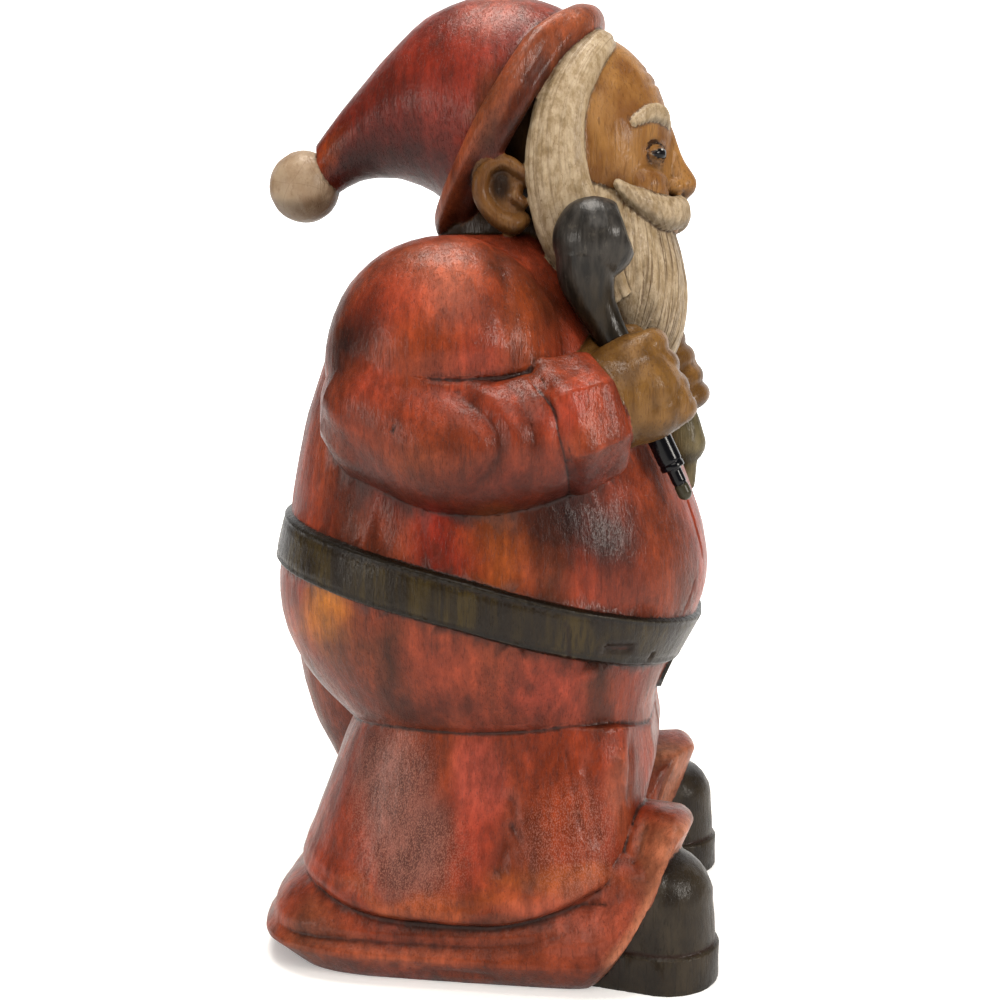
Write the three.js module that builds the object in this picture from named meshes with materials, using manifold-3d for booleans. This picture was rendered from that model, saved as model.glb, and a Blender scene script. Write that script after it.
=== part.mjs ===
// A carved wooden Santa figure with a loose tobacco pipe through its right fist.
// Millimetres, +Z up. The figure faces -Y and its own left side is +X. It stands on Z = 0,
// with the origin in the middle of its underside.
import * as THREE from "three";
import { mergeVertices } from "three/addons/utils/BufferGeometryUtils.js";
import Module from "manifold-3d";

const wasm = await Module();
wasm.setup();

// Driving dimensions.
const figureHeight = 301; // ground to the crown of the hat
const beltWidth = 15;
const beltProud = 2.6; // how far the belt stands out of the coat
const buckleWidth = 27;
const buckleProud = 2.6;
const soleThickness = 12;
const soleWelt = 1.2; // how far the sole stands out under the shoe
const cuffWidth = 20;
const pompomRadius = 11.6;
const shankRadius = 3.7; // of the pipe where the fist holds it
const pipeClearance = 0.45; // round the shank in the bored fist
const bowlMouthRadius = 5.2;
const bowlMouthDepth = 4;
const stemTipRadius = 2.2;

// The free form keeps its proportions as shares of the height. The tables below were set out on
// a figure of this height, and carved() turns one of their lengths into a length on this figure.
const setOutHeight = 301;
const carved = (length) => (length * figureHeight) / setOutHeight;
const setOut = (length) => (length * setOutHeight) / figureHeight;
const at = (x, y, z) => new THREE.Vector3(carved(x), carved(y), carved(z));

const TAU = Math.PI * 2;
const DEGREE = Math.PI / 180;
const LEFT = 1;
const RIGHT = -1;
const X_AXIS = new THREE.Vector3(1, 0, 0);
const Z_AXIS = new THREE.Vector3(0, 0, 1);
const { lerp, smoothstep } = THREE.MathUtils;

// A smooth curve through rows of numbers, the first of each row being the place it holds for.
function tableOf(rows) {
  const places = rows.map((row) => row[0]);
  const values = rows.flatMap((row) => row.slice(1));
  const curve = new THREE.CubicInterpolant(places, values, rows[0].length - 1);
  return (place) => Array.from(curve.evaluate(place));
}

// A table over the shares 0 to 1 of a run of evenly spaced stations.
const tableAlong = (stations, pick) =>
  tableOf(stations.map((station, i) => [i / (stations.length - 1), ...pick(station)]));

// A closed skin over rings of as many points each. An open run of rings ends in two fans; a
// closed one joins its last ring to its first, as a torus does.
function skin(rings, closed = false) {
  const around = rings[0].length;
  const vertices = rings.flat();
  const triangles = [];
  const spans = closed ? rings.length : rings.length - 1;
  for (let i = 0; i < spans; i++) {
    for (let j = 0; j < around; j++) {
      const next = ((i + 1) % rings.length) * around;
      const a = i * around + j;
      const b = i * around + ((j + 1) % around);
      const c = next + ((j + 1) % around);
      const d = next + j;
      triangles.push(a, b, c, a, c, d);
    }
  }
  if (!closed) {
    fan(vertices, triangles, 0, around, true);
    fan(vertices, triangles, (rings.length - 1) * around, around, false);
  }
  const geometry = new THREE.BufferGeometry().setFromPoints(vertices);
  geometry.setIndex(triangles);
  return geometry;
}

// Closes a ring of the list of vertices with triangles round its middle.
function fan(vertices, triangles, first, around, reversed) {
  const middle = new THREE.Vector3();
  for (let j = 0; j < around; j++) {
    middle.addScaledVector(vertices[first + j], 1 / around);
    const p = first + j;
    const q = first + ((j + 1) % around);
    triangles.push(...(reversed ? [q, p] : [p, q]), vertices.length);
  }
  vertices.push(middle);
}

// An oval ring of points round a centre, given by its two half-axes as vectors.
function oval(centre, halfA, halfB, around) {
  return Array.from({ length: around }, (_, j) => {
    const turn = (j / around) * TAU;
    return centre
      .clone()
      .addScaledVector(halfA, Math.cos(turn))
      .addScaledVector(halfB, Math.sin(turn));
  });
}

// Radius of a superellipse towards the angle a, measured from the front (-Y) round to +X.
function squaredOval(a, halfWidth, halfDepth, power) {
  const across = Math.abs(Math.sin(a) / halfWidth) ** power;
  const along = Math.abs(Math.cos(a) / halfDepth) ** power;
  return (across + along) ** (-1 / power);
}

// A point at an angle from the front, a radius out from the upright axis x = 0, y = middle.
const polar = (a, radius, middle, z) =>
  new THREE.Vector3(radius * Math.sin(a), middle - radius * Math.cos(a), z);

// A ring of points at even angles from the front.
const ringOf = (around, point) => Array.from({ length: around }, (_, j) => point((j / around) * TAU));

// A round limb through stations [x, y, z, radius]. Its ends are rounded unless they are flat,
// and flattened along the direction `side` where `squash` is under 1.
function limb(stations, { steps = 6, around = 12, flat = false, squash = 1, side = X_AXIS } = {}) {
  const places = stations.map(([x, y, z]) => at(x, y, z));
  const path = new THREE.CatmullRomCurve3(places, false, "centripetal");
  const radii = tableAlong(stations, (station) => [carved(station[3])]);
  const rings = [];
  const addRing = (share, along, part) => {
    const tangent = path.getTangent(share);
    const across = side.clone().addScaledVector(tangent, -side.dot(tangent)).normalize();
    const up = tangent.clone().cross(across);
    const radius = radii(share)[0];
    const centre = path.getPoint(share).addScaledVector(tangent, along * radius);
    across.multiplyScalar(radius * part * squash);
    up.multiplyScalar(radius * part);
    rings.push(oval(centre, across, up, around));
  };
  const capTurn = 35 * DEGREE;
  if (!flat) addRing(0, -Math.cos(capTurn), Math.sin(capTurn));
  for (let i = 0; i <= steps; i++) addRing(i / steps, 0, 1);
  if (!flat) addRing(1, Math.cos(capTurn), Math.sin(capTurn));
  return skin(rings);
}

// An ellipsoid with its centre and radii in set-out lengths.
function egg([x, y, z], [a, b, c], columns = 12, rows = 8) {
  return new THREE.SphereGeometry(1, columns, rows)
    .rotateX(Math.PI / 2)
    .scale(carved(a), carved(b), carved(c))
    .translate(...at(x, y, z));
}

// Six times the volume inside a closed mesh, below zero where its faces point inwards.
function signedVolume(positions, triangles) {
  const corner = (i) => new THREE.Vector3().fromArray(positions, triangles[i] * 3);
  let sum = 0;
  for (let i = 0; i < triangles.length; i += 3) {
    sum += corner(i).dot(corner(i + 1).cross(corner(i + 2)));
  }
  return sum;
}

// A closed geometry as a solid for joining and cutting, with its faces pointing outwards.
function solid(geometry) {
  const bare = geometry.clone();
  bare.deleteAttribute("normal");
  bare.deleteAttribute("uv");
  const merged = mergeVertices(bare, 1e-4);
  const vertProperties = new Float32Array(merged.attributes.position.array);
  const triVerts = new Uint32Array(merged.index.array);
  if (signedVolume(vertProperties, triVerts) < 0) triVerts.reverse();
  return new wasm.Manifold(new wasm.Mesh({ numProp: 3, vertProperties, triVerts }));
}

const joined = (geometries) => geometries.map(solid).reduce((whole, piece) => whole.add(piece));

function geometryOf(manifold) {
  const { vertProperties, triVerts } = manifold.getMesh();
  const geometry = new THREE.BufferGeometry();
  geometry.setAttribute("position", new THREE.BufferAttribute(vertProperties, 3));
  geometry.setIndex(new THREE.BufferAttribute(triVerts, 1));
  const flat = geometry.toNonIndexed();
  flat.computeVertexNormals();
  return flat;
}

// Coat above the skirt: height, front, back, half width.
const coatTable = tableOf([
  [60, -50, 40, 46],
  [70, -54.5, 45, 51],
  [79, -55.5, 54, 56],
  [90, -60, 62, 61],
  [101, -66, 67, 64.5],
  [112, -70.6, 69, 66],
  [120, -71.6, 68.5, 66],
  [132, -70, 65.4, 65],
  [146, -65.5, 63.5, 62],
  [160, -60, 61, 59],
  [172, -55, 58, 56],
  [184, -49, 54, 53],
  [196, -42, 49, 54],
  [207, -34, 43, 50],
  [217, -27, 34, 42],
  [225, -20, 22, 29],
]);
const coatFoot = 60;
const coatCollar = 225;
const coatPower = 2.25; // of its round cross-section
const coatFootPower = 3.2; // in front, where it meets the skirt's corners

// The coat's outline at a set-out height, towards an angle, and a margin out from it.
function coatPoint(a, height, margin) {
  const [front, back, halfWidth] = coatTable(height).map(carved);
  const corners = smoothstep(Math.cos(a), 0, 0.5) * (1 - smoothstep(height, 70, 96));
  const power = lerp(coatPower, coatFootPower, corners);
  const radius = squaredOval(a, halfWidth, (back - front) / 2, power) + margin;
  return polar(a, radius, (front + back) / 2, carved(height));
}

function coat() {
  const levels = 11;
  const heights = Array.from({ length: levels + 1 }, (_, i) => lerp(coatFoot, coatCollar, i / levels));
  return skin(heights.map((height) => ringOf(24, (a) => coatPoint(a, height, 0))));
}

// Set-out height of the belt's middle: low in front under the belly, high behind.
const beltMiddle = (a) => 116 - (Math.cos(a) > 0 ? 18 : 15) * Math.cos(a) + 1.5 * Math.abs(Math.sin(a));

function belt() {
  const half = beltWidth / 2;
  const section = [[-half, -beltProud], [-half, beltProud], [half, beltProud], [half, -beltProud]];
  const height = (a, rise) => beltMiddle(a) + setOut(rise);
  const sectionAt = (a) => section.map(([rise, proud]) => coatPoint(a, height(a, rise), proud));
  return skin(ringOf(22, sectionAt), true);
}

// A plate with its corners cut, bent to the underside of the belly across the belt's middle.
function buckle() {
  const foot = 79;
  const top = 107;
  const corner = 3.5;
  const band = (height, half) => {
    const { y, z } = coatPoint(0, height, buckleProud);
    const inside = y + buckleProud + 4;
    const corners = [[-half, inside], [-half, y], [half, y], [half, inside]];
    return corners.map(([x, depth]) => new THREE.Vector3(x, depth, z));
  };
  const half = buckleWidth / 2;
  const heights = [foot, foot + corner, lerp(foot, top, 0.5), top - corner, top];
  return skin(heights.map((height, i) => band(height, i % 4 === 0 ? half - corner : half)));
}

// Skirt of the coat: share up from its lower edge, front, back, half width.
const skirtTable = tableOf([
  [0, -50, 57, 66],
  [0.08, -51, 59, 68],
  [0.25, -52.5, 56, 65],
  [0.5, -54.5, 51, 60.5],
  [0.8, -57, 45, 55.5],
  [1, -57, 40, 52],
]);
const skirtTop = 78;
const skirtTopDip = 6; // how much lower the top is in front
const skirtPanelTurn = 20.5 * DEGREE; // of each flat front panel from straight ahead
const skirtPanelReach = 62.5; // from the axis to the plane of each panel

// Two flat panels meet the rounded side of the skirt in an upright edge on each side.
function skirtPoint(a, share) {
  const [front, back, halfWidth] = skirtTable(share).map(carved);
  const middle = (front + back) / 2;
  const facing = Math.cos(a);
  const rounded = squaredOval(a, halfWidth, (back - front) / 2, facing > 0 ? 4.4 : 2.9);
  const panel = (carved(skirtPanelReach) + middle * Math.cos(skirtPanelTurn))
    / Math.max(Math.cos(Math.abs(Math.atan2(Math.sin(a), facing)) - skirtPanelTurn), 0.2);
  const edge = 19.5 + 12 * smoothstep(facing, 0.15, 0.75) + 4 * smoothstep(-facing, 0.2, 0.9);
  const top = skirtTop - skirtTopDip * smoothstep(facing, 0.2, 0.8);
  return polar(a, Math.min(rounded, panel), middle, carved(lerp(edge, top, share)));
}

function skirt() {
  const around = 26;
  const core = ringOf(around, (a) => polar(a, carved(squaredOval(a, 50, 42, 3)), 0, carved(12)));
  const shares = [0, 0.08, 0.4, 0.75, 1];
  return skin([core, ...shares.map((share) => ringOf(around, (a) => skirtPoint(a, share)))]);
}

// The hem flares over the ground behind and at the sides, and lifts in front over each shoe.
const hemTable = tableOf([
  [0, -62, 60, 63],
  [0.12, -66, 64, 66.5],
  [0.4, -69, 67.5, 67.5],
  [0.6, -68, 66, 67],
  [0.85, -64.5, 60.5, 63],
  [1, -56, 54, 58],
]);

// How far the hem is lifted towards the angle a, from 0 on the ground to 1 over a shoe.
function hemLift(a) {
  const turn = Math.abs(Math.atan2(Math.sin(a), Math.cos(a))) / DEGREE;
  return smoothstep(turn, 8, 24) * (1 - smoothstep(turn, 38, 60));
}

function hemPoint(a, share) {
  const [front, back, halfWidth] = hemTable(share).map(carved);
  const lift = hemLift(a);
  const valley = 1 - 0.24 * smoothstep(Math.cos(a), 0.88, 0.99);
  const radius = squaredOval(a, halfWidth, (back - front) / 2, 5) * valley;
  const z = lerp(lerp(0, 44, lift), lerp(25, 54, lift), share);
  return polar(a, radius, (front + back) / 2, carved(z));
}

function hem() {
  const around = 36;
  const shares = [0, 0.12, 0.4, 0.7, 1];
  const sole = ringOf(around, (a) => polar(a, carved(squaredOval(a, 54, 52, 3.6)), 0, 0));
  return skin([sole, ...shares.map((share) => ringOf(around, (a) => hemPoint(a, share)))]);
}

// One shoe: a flat sole with its welt, and a round upper that runs back under the hem.
function shoe(side) {
  const length = carved(59);
  const halfWidth = carved(16.5);
  const curveSegments = 6;
  const outline = (grow) => {
    const w = halfWidth + grow;
    const shape = new THREE.Shape();
    shape.moveTo(-w, 0);
    shape.absarc(0, -length + halfWidth, w, Math.PI, TAU, false);
    shape.lineTo(w, 0);
    shape.closePath();
    return shape;
  };
  const place = (geometry) => geometry.rotateZ(3.5 * DEGREE * side).translate(...at(42.5 * side, -17, 0));
  const sole = new THREE.ExtrudeGeometry(outline(soleWelt), {
    depth: soleThickness, bevelEnabled: false, curveSegments,
  });
  const upper = tableOf([
    [0, 1, 0],
    [0.4, 1, 0.01],
    [0.7, 0.93, 0.035],
    [0.9, 0.74, 0.11],
    [1, 0.5, 0.2],
  ]);
  const ring = (share) => {
    const [width, back] = upper(share);
    const z = lerp(soleThickness - 1, carved(39), share);
    const outlinePoints = outline(0).getPoints(curveSegments).slice(0, -1);
    return outlinePoints.map((p) => new THREE.Vector3(p.x * width, p.y * (1 - back), z));
  };
  return [place(sole), place(skin([0, 0.5, 0.8, 1].map(ring)))];
}

// The folded arm: shoulder, forearm coming forward, and a broad cuff.
function arm(side) {
  const shoulder = egg([42 * side, 8, 186.5], [28, 36, 38], 12, 8);
  const forearm = limb([
    [46 * side, 20, 172, 25],
    [54.5 * side, 3, 163.5, 21.5],
    [55.5 * side, -15, 164.5, 20.5],
    [51 * side, -31, 169, 18.5],
  ], { steps: 4, around: 11 });
  const wrist = at(55 * side, -24, 167);
  const reach = new THREE.Vector3(-0.42 * side, -0.86, 0.3).normalize();
  const cuffEnd = wrist.clone().addScaledVector(reach, cuffWidth);
  const stations = [[0, 20.5], [0.5, 20], [1, 18]].map(([share, radius]) => [
    ...wrist.clone().lerp(cuffEnd, share).divideScalar(carved(1)), radius,
  ]);
  const cuff = limb(stations, { steps: 2, around: 12, flat: true });
  return [shoulder, forearm, cuff];
}

// The pipe runs down through the right fist along one straight line.
const gripMiddle = at(-38, -49.6, 178.5);
const gripAxis = new THREE.Vector3(0, -0.43, -0.9).normalize();

// A fist closed round a line: the back of the hand, four curled fingers and the thumb.
function fist(side, middle) {
  const outward = X_AXIS.clone().multiplyScalar(side);
  const forward = new THREE.Vector3(0, gripAxis.z, -gripAxis.y);
  const spot = (along, out, front, radius) => [
    ...middle.clone().divideScalar(carved(1))
      .addScaledVector(gripAxis, along)
      .addScaledVector(outward, out)
      .addScaledVector(forward, front),
    radius,
  ];
  const back = limb([
    spot(1, 4, -17, 12),
    spot(0, 5.5, -4, 13.5),
    spot(0, 3, 3, 11.5),
  ], { steps: 3, around: 10 });
  const fingers = [[-10.5, 4.7], [-3.6, 5.1], [3.6, 5], [10.3, 4.5]].map(([along, radius]) => limb([
    spot(along, 8.5, 2.5, radius + 0.8),
    spot(along, 4.5, 9.4, radius),
    spot(along, -4.5, 9, radius),
    spot(along, -9.5, 2, radius),
    spot(along, -8, -5, radius - 0.8),
  ], { steps: 4, around: 5, side: gripAxis }));
  const thumb = limb([
    spot(-12, 2, -10, 5.6),
    spot(-16.5, -4, -3, 4.6),
    spot(-15, -6.5, 5, 4),
  ], { steps: 3, around: 6, side: gripAxis });
  return [back, ...fingers, thumb];
}

// Head with a plain face on even proportions: the eyes half way up it, the nose's foot and the
// mouth in thirds below the brows.
const chinHeight = 211;
const crownHeight = 289;
const brimOverCrown = 4.5; // from the crown up to the middle of the brim over the forehead
const faceHeight = (share) => lerp(chinHeight, crownHeight, share);

function head() {
  const eyes = faceHeight(0.5);
  const brows = faceHeight(0.62);
  const noseFoot = faceHeight(0.34);
  const features = [LEFT, RIGHT].flatMap((side) => [
    egg([12.5 * side, -49.5, faceHeight(0.41)], [9.5, 8.5, 8.5], 7, 6),
    egg([10.5 * side, -54.2, eyes], [4.8, 3.6, 2.9], 7, 5),
    limb([
      [3.5 * side, -58.5, brows + 1.5, 2],
      [11.5 * side, -56.5, brows + 3.5, 3],
      [20.5 * side, -48.5, brows - 1, 1.6],
    ], { steps: 4, around: 5, side: Z_AXIS }),
  ]);
  const nose = limb([
    [0, -56, eyes + 7, 3.2],
    [0, -59.5, eyes - 3, 3.8],
    [0, -61.5, noseFoot + 4, 4.8],
  ], { steps: 3, around: 7 });
  const skull = egg([0, -29, eyes], [27, 29.5, (crownHeight - chinHeight) / 2], 16, 11);
  const neck = egg([0, -8, 228], [22, 25, 14], 8, 5);
  return [skull, neck, nose, ...features];
}

function ear(side) {
  const x = 29 * side;
  const shell = egg([27 * side, -7.5, 237.5], [3, 6.5, 9.5], 6, 5);
  const rim = limb([
    [x, -13, 242.5, 2.4],
    [x, -8.5, 246.8, 2.6],
    [x + side, -2, 244, 2.8],
    [x + side, -0.5, 236.5, 2.8],
    [x, -5, 230, 2.8],
    [x, -10.5, 228, 3.2],
  ], { steps: 6, around: 5 });
  return [shell, rim];
}

// Hair from under the brim down each side of the face, thick and flat against the head.
function hair(side) {
  const stations = [
    [0, -35.5, 285, 6],
    [12, -35, 283, 7.5],
    [21.5, -30, 274.5, 8],
    [26.5, -26, 263, 9],
    [28.5, -25, 250, 10],
    [29, -26.5, 238, 10.5],
    [28, -29, 226, 12],
  ];
  const path = new THREE.CatmullRomCurve3(stations.map(([x, y, z]) => at(x * side, y, z)));
  const halfWidth = tableAlong(stations, (station) => [carved(station[3])]);
  const skullMiddle = at(0, -24, 250);
  const thickness = carved(4.6);
  const steps = 6;
  const rings = Array.from({ length: steps + 1 }, (_, i) => {
    const share = i / steps;
    const centre = path.getPoint(share);
    const tangent = path.getTangent(share);
    const out = centre.clone().sub(skullMiddle);
    out.addScaledVector(tangent, -out.dot(tangent)).normalize();
    const across = tangent.clone().cross(out).multiplyScalar(halfWidth(share)[0]);
    return oval(centre, out.multiplyScalar(thickness), across, 7);
  });
  return skin(rings);
}

// Beard: height, front, back, half width. Its locks are flutes round the front.
const beardTable = tableOf([
  [184, -57, -48, 4],
  [187, -59.5, -43, 9.5],
  [193, -62, -34, 16.5],
  [201, -63.4, -26, 22.5],
  [210, -63.4, -20, 27],
  [220, -61.5, -16, 29],
  [230, -57.5, -14, 28.5],
  [238, -51, -14, 27],
  [246, -42, -16, 24],
]);
const beardTip = 184;
const beardRoot = 246;
const beardLocks = 12;

function beard() {
  const levels = 6;
  const rings = Array.from({ length: levels + 1 }, (_, i) => {
    const height = lerp(beardTip, beardRoot, i / levels);
    const [front, back, halfWidth] = beardTable(height).map(carved);
    const fading = smoothstep(height, 184, 192) * (1 - smoothstep(height, 234, 246));
    return ringOf(beardLocks * 3, (a) => {
      const lock = 1 + 0.035 * fading * Math.cos(a * beardLocks);
      const radius = squaredOval(a, halfWidth, (back - front) / 2, 2.1) * lock;
      return polar(a, radius, (front + back) / 2, carved(height));
    });
  });
  return skin(rings);
}

function moustache(side) {
  return limb([
    [0.5 * side, -62, 235, 3.4],
    [8 * side, -61, 233, 4.2],
    [17 * side, -55.5, 233, 3.8],
    [24 * side, -47.5, 238, 1.8],
  ], { steps: 4, around: 5, side: Z_AXIS });
}

// Hat: points of its upper and lower outline in the middle plane [y, z], and its half width.
const hatSections = [
  { upper: [-33, 291], lower: [11, 226], half: 31 },
  { upper: [-17, 299], lower: [14.5, 236], half: 30.5 },
  { upper: [1, 301], lower: [20, 241], half: 27 },
  { upper: [17, 296.5], lower: [27.5, 244.2], half: 22.5 },
  { upper: [31, 285.5], lower: [34.5, 245.5], half: 17.5 },
  { upper: [44, 271.5], lower: [41.5, 245], half: 12.5 },
  { upper: [52.5, 262], lower: [47, 243], half: 9.5 },
  { upper: [57.5, 256], lower: [52, 240], half: 8 },
];

function hat() {
  const outline = tableAlong(hatSections, ({ upper, lower, half }) => [...upper, ...lower, half]);
  const steps = 8;
  const rings = Array.from({ length: steps + 1 }, (_, i) => {
    const [upperY, upperZ, lowerY, lowerZ, half] = outline(i / steps);
    const upper = at(0, upperY, upperZ);
    const lower = at(0, lowerY, lowerZ);
    const centre = upper.clone().add(lower).divideScalar(2);
    const rise = upper.sub(lower).divideScalar(2);
    return oval(centre, X_AXIS.clone().multiplyScalar(carved(half)), rise, 20);
  });
  return skin(rings);
}

// The turned-up brim: a band round the head, thick and rolled over the forehead.
function brim() {
  const front = at(0, -29.8, crownHeight + brimOverCrown);
  const nape = at(0, 9.5, 226.5);
  const centre = front.clone().add(nape).divideScalar(2);
  const rise = front.clone().sub(nape).divideScalar(2);
  const halfWidth = carved(31.5);
  const towardsFace = new THREE.Vector3(0, -rise.z, rise.y).normalize();
  const section = (a) => {
    const top = smoothstep(Math.cos(a), 0.55, 1);
    const out = rise.clone().normalize().multiplyScalar(Math.cos(a));
    out.addScaledVector(X_AXIS, Math.sin(a)).normalize();
    const middle = centre
      .clone()
      .addScaledVector(rise, Math.cos(a))
      .addScaledVector(X_AXIS, halfWidth * Math.sin(a))
      .addScaledVector(towardsFace, carved(lerp(-3.5, 1.5, top)));
    const wide = towardsFace.clone().addScaledVector(out, lerp(-0.22, 0, top)).normalize();
    const thick = out.clone().addScaledVector(wide, -out.dot(wide)).normalize();
    wide.multiplyScalar(carved(lerp(7.4, 5.2, top)));
    thick.multiplyScalar(carved(lerp(2.8, 4.6, top)));
    return oval(middle, wide, thick, 6);
  };
  return skin(ringOf(20, section), true);
}

// Sack on the back, left of the middle; its gathered neck runs over the shoulder to the fist.
const sackGrip = at(37, -54, 178.5);

function sack() {
  const bag = limb([
    [39, 46, 37, 17],
    [41, 46, 54, 26],
    [41, 46, 78, 31],
    [39, 44, 104, 30],
    [37, 41, 134, 26],
    [35, 36, 162, 20.5],
    [34, 28, 188, 14],
  ], { steps: 6, around: 12 });
  const neck = limb([
    [34, 28, 186, 13],
    [34, 18, 208, 9],
    [34, 2, 222, 7],
    [34.5, -18, 221, 6.2],
    [36, -38, 208, 5.6],
    [37, -48.5, 194, 5.6],
    [37, -55, 178, 6.4],
    [37, -61, 165, 6.4],
    [37, -63.5, 156, 7],
  ], { steps: 9, around: 6 });
  const cordEnd = limb([
    [37, -65, 158, 3.2],
    [37, -64.5, 142, 2.4],
  ], { steps: 1, around: 6 });
  return [bag, neck, cordEnd];
}

// A straight round bar along the grip, from one distance below the fist's middle to another.
function gripBar(radius, from, to, around = 12) {
  const turn = new THREE.Quaternion().setFromUnitVectors(new THREE.Vector3(0, 1, 0), gripAxis);
  const middle = gripMiddle.clone().addScaledVector(gripAxis, (from + to) / 2);
  return new THREE.CylinderGeometry(radius, radius, to - from, around)
    .applyQuaternion(turn)
    .translate(...middle);
}

// The pipe's outside, or a hollow for it where `grow` is a clearance: a bulb of a bowl, a
// tapering shank that passes the fist, and a stepped stem below it.
function pipeBody(grow) {
  const onGrip = (along) => gripMiddle.clone().addScaledVector(gripAxis, along).divideScalar(carved(1));
  const bowlAndShank = [
    [-38.5, -42.2, 227.4, 8],
    [-38.5, -37.5, 225.7, 11],
    [-38.5, -34.5, 220.5, 11],
    [-38.5, -34.8, 213.5, 8.4],
    [-38.3, -37.2, 206, 5.6],
    [...onGrip(-19), setOut(shankRadius)],
    [...onGrip(-8), setOut(shankRadius)],
  ].map(([x, y, z, radius]) => [x, y, z, radius + setOut(grow)]);
  return joined([
    limb(bowlAndShank, { steps: 8, around: 10 }),
    gripBar(shankRadius + grow, -10, 26 + grow),
    gripBar(stemTipRadius + grow, 24, 35 + grow, 10),
  ]);
}

function pipe() {
  const mouthFacing = new THREE.Vector3(0, -0.94, 0.34).normalize();
  const mouth = new THREE.CylinderGeometry(bowlMouthRadius, bowlMouthRadius, 30, 12)
    .translate(0, 15 - bowlMouthDepth, 0)
    .applyQuaternion(new THREE.Quaternion().setFromUnitVectors(new THREE.Vector3(0, 1, 0), mouthFacing))
    .translate(...at(-38.5, -45, 228.5));
  return geometryOf(pipeBody(0).subtract(solid(mouth)));
}

function figure() {
  const pompom = egg([0, 62, 242.6], [0, 0, 0].fill(setOut(pompomRadius)), 12, 7);
  const pieces = [
    coat(), belt(), buckle(), skirt(), hem(),
    ...[LEFT, RIGHT].flatMap((side) => [
      ...shoe(side), ...arm(side), ...ear(side), hair(side), moustache(side),
    ]),
    ...fist(RIGHT, gripMiddle), ...fist(LEFT, sackGrip),
    ...head(), beard(), hat(), brim(), pompom, ...sack(),
  ];
  return geometryOf(joined(pieces).subtract(pipeBody(pipeClearance)));
}

function mesh(name, geometry, color, roughness) {
  const material = new THREE.MeshStandardMaterial({ color, roughness, metalness: 0 });
  const made = new THREE.Mesh(geometry, material);
  made.name = name;
  return made;
}

const whole = new THREE.Group();
whole.add(mesh("santa_figure", figure(), 0xa8442c, 0.45));
whole.add(mesh("pipe", pipe(), 0x2b2a28, 0.35));

export default whole;
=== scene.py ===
"""Looks of the carved Santa figure.

The carving is laid out in millimetres with the sizes of the solid model, built as a set of
closed forms, melted into one skin, carved, and painted by fields that are kept on its points.
The figure faces -Y, its own left side is +X and it stands on Z = 0.
"""
import math

import bpy
import numpy as np
from mathutils import Matrix, Vector
from mathutils.bvhtree import BVHTree
from mathutils.kdtree import KDTree


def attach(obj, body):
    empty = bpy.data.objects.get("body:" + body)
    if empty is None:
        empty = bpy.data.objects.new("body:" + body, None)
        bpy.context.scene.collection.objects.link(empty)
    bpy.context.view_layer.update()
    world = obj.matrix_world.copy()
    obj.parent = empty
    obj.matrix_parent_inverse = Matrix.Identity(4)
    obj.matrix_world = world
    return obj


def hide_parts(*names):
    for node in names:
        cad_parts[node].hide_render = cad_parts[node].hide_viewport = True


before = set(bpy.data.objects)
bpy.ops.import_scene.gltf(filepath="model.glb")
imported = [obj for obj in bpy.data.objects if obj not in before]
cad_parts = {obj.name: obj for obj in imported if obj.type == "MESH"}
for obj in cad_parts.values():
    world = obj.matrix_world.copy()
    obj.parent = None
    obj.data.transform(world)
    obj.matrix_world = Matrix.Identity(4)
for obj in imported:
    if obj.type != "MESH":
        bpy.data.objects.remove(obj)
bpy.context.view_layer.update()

MM = 0.001
TAU = 2 * math.pi
LEFT = 1
RIGHT = -1
BOTH = (LEFT, RIGHT)
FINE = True

# How finely the carving is modelled.
VOXEL = 0.5 if FINE else 1.0
FIGURE_TRIANGLES = 196000
PIPE_TRIANGLES = 60000
FIELD_REACH = 3.0  # how far, in millimetres, the fields between zones of paint are kept
STUDIO_LIGHT = 1.6  # how much brighter a surface looks than its own reflectance

# Driving sizes, as in the solid model.
BELT_WIDTH = 15
BELT_PROUD = 2.6
BUCKLE_WIDTH = 27
BUCKLE_PROUD = 1.8
SOLE_THICKNESS = 12
SOLE_WELT = 1.2
CUFF_WIDTH = 20
POMPOM_RADIUS = 11.6
SHANK_RADIUS = 3.7
PIPE_CLEARANCE = 0.45
BOWL_MOUTH_RADIUS = 5.2
BOWL_MOUTH_DEPTH = 4
STEM_TIP_RADIUS = 2.2


# Numbers and curves

def vec(*values):
    return np.array(values, float)


def unit(v):
    return v / np.linalg.norm(v)


def lerp(a, b, share):
    return a + (b - a) * share


def smoothstep(value, low, high):
    t = np.clip((np.asarray(value, float) - low) / (high - low), 0, 1)
    return t * t * (3 - 2 * t)


def hump(value, middle, width):
    """1 at the middle, fading smoothly over that width to each side."""
    return np.exp(-((value - middle) / width) ** 2)


def gap(points, place, size=(1, 1, 1)):
    """How far points lie from a place, counted along each axis in units of that size."""
    return np.linalg.norm((points - vec(*place)) / vec(*size), axis=1)


def bearing(points):
    """The angle of points round the upright axis, from the front to +X."""
    return np.arctan2(points[:, 0], -points[:, 1])


def turned(a):
    """How far an angle is from the front, to either side."""
    return np.abs(np.arctan2(np.sin(a), np.cos(a)))


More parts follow.
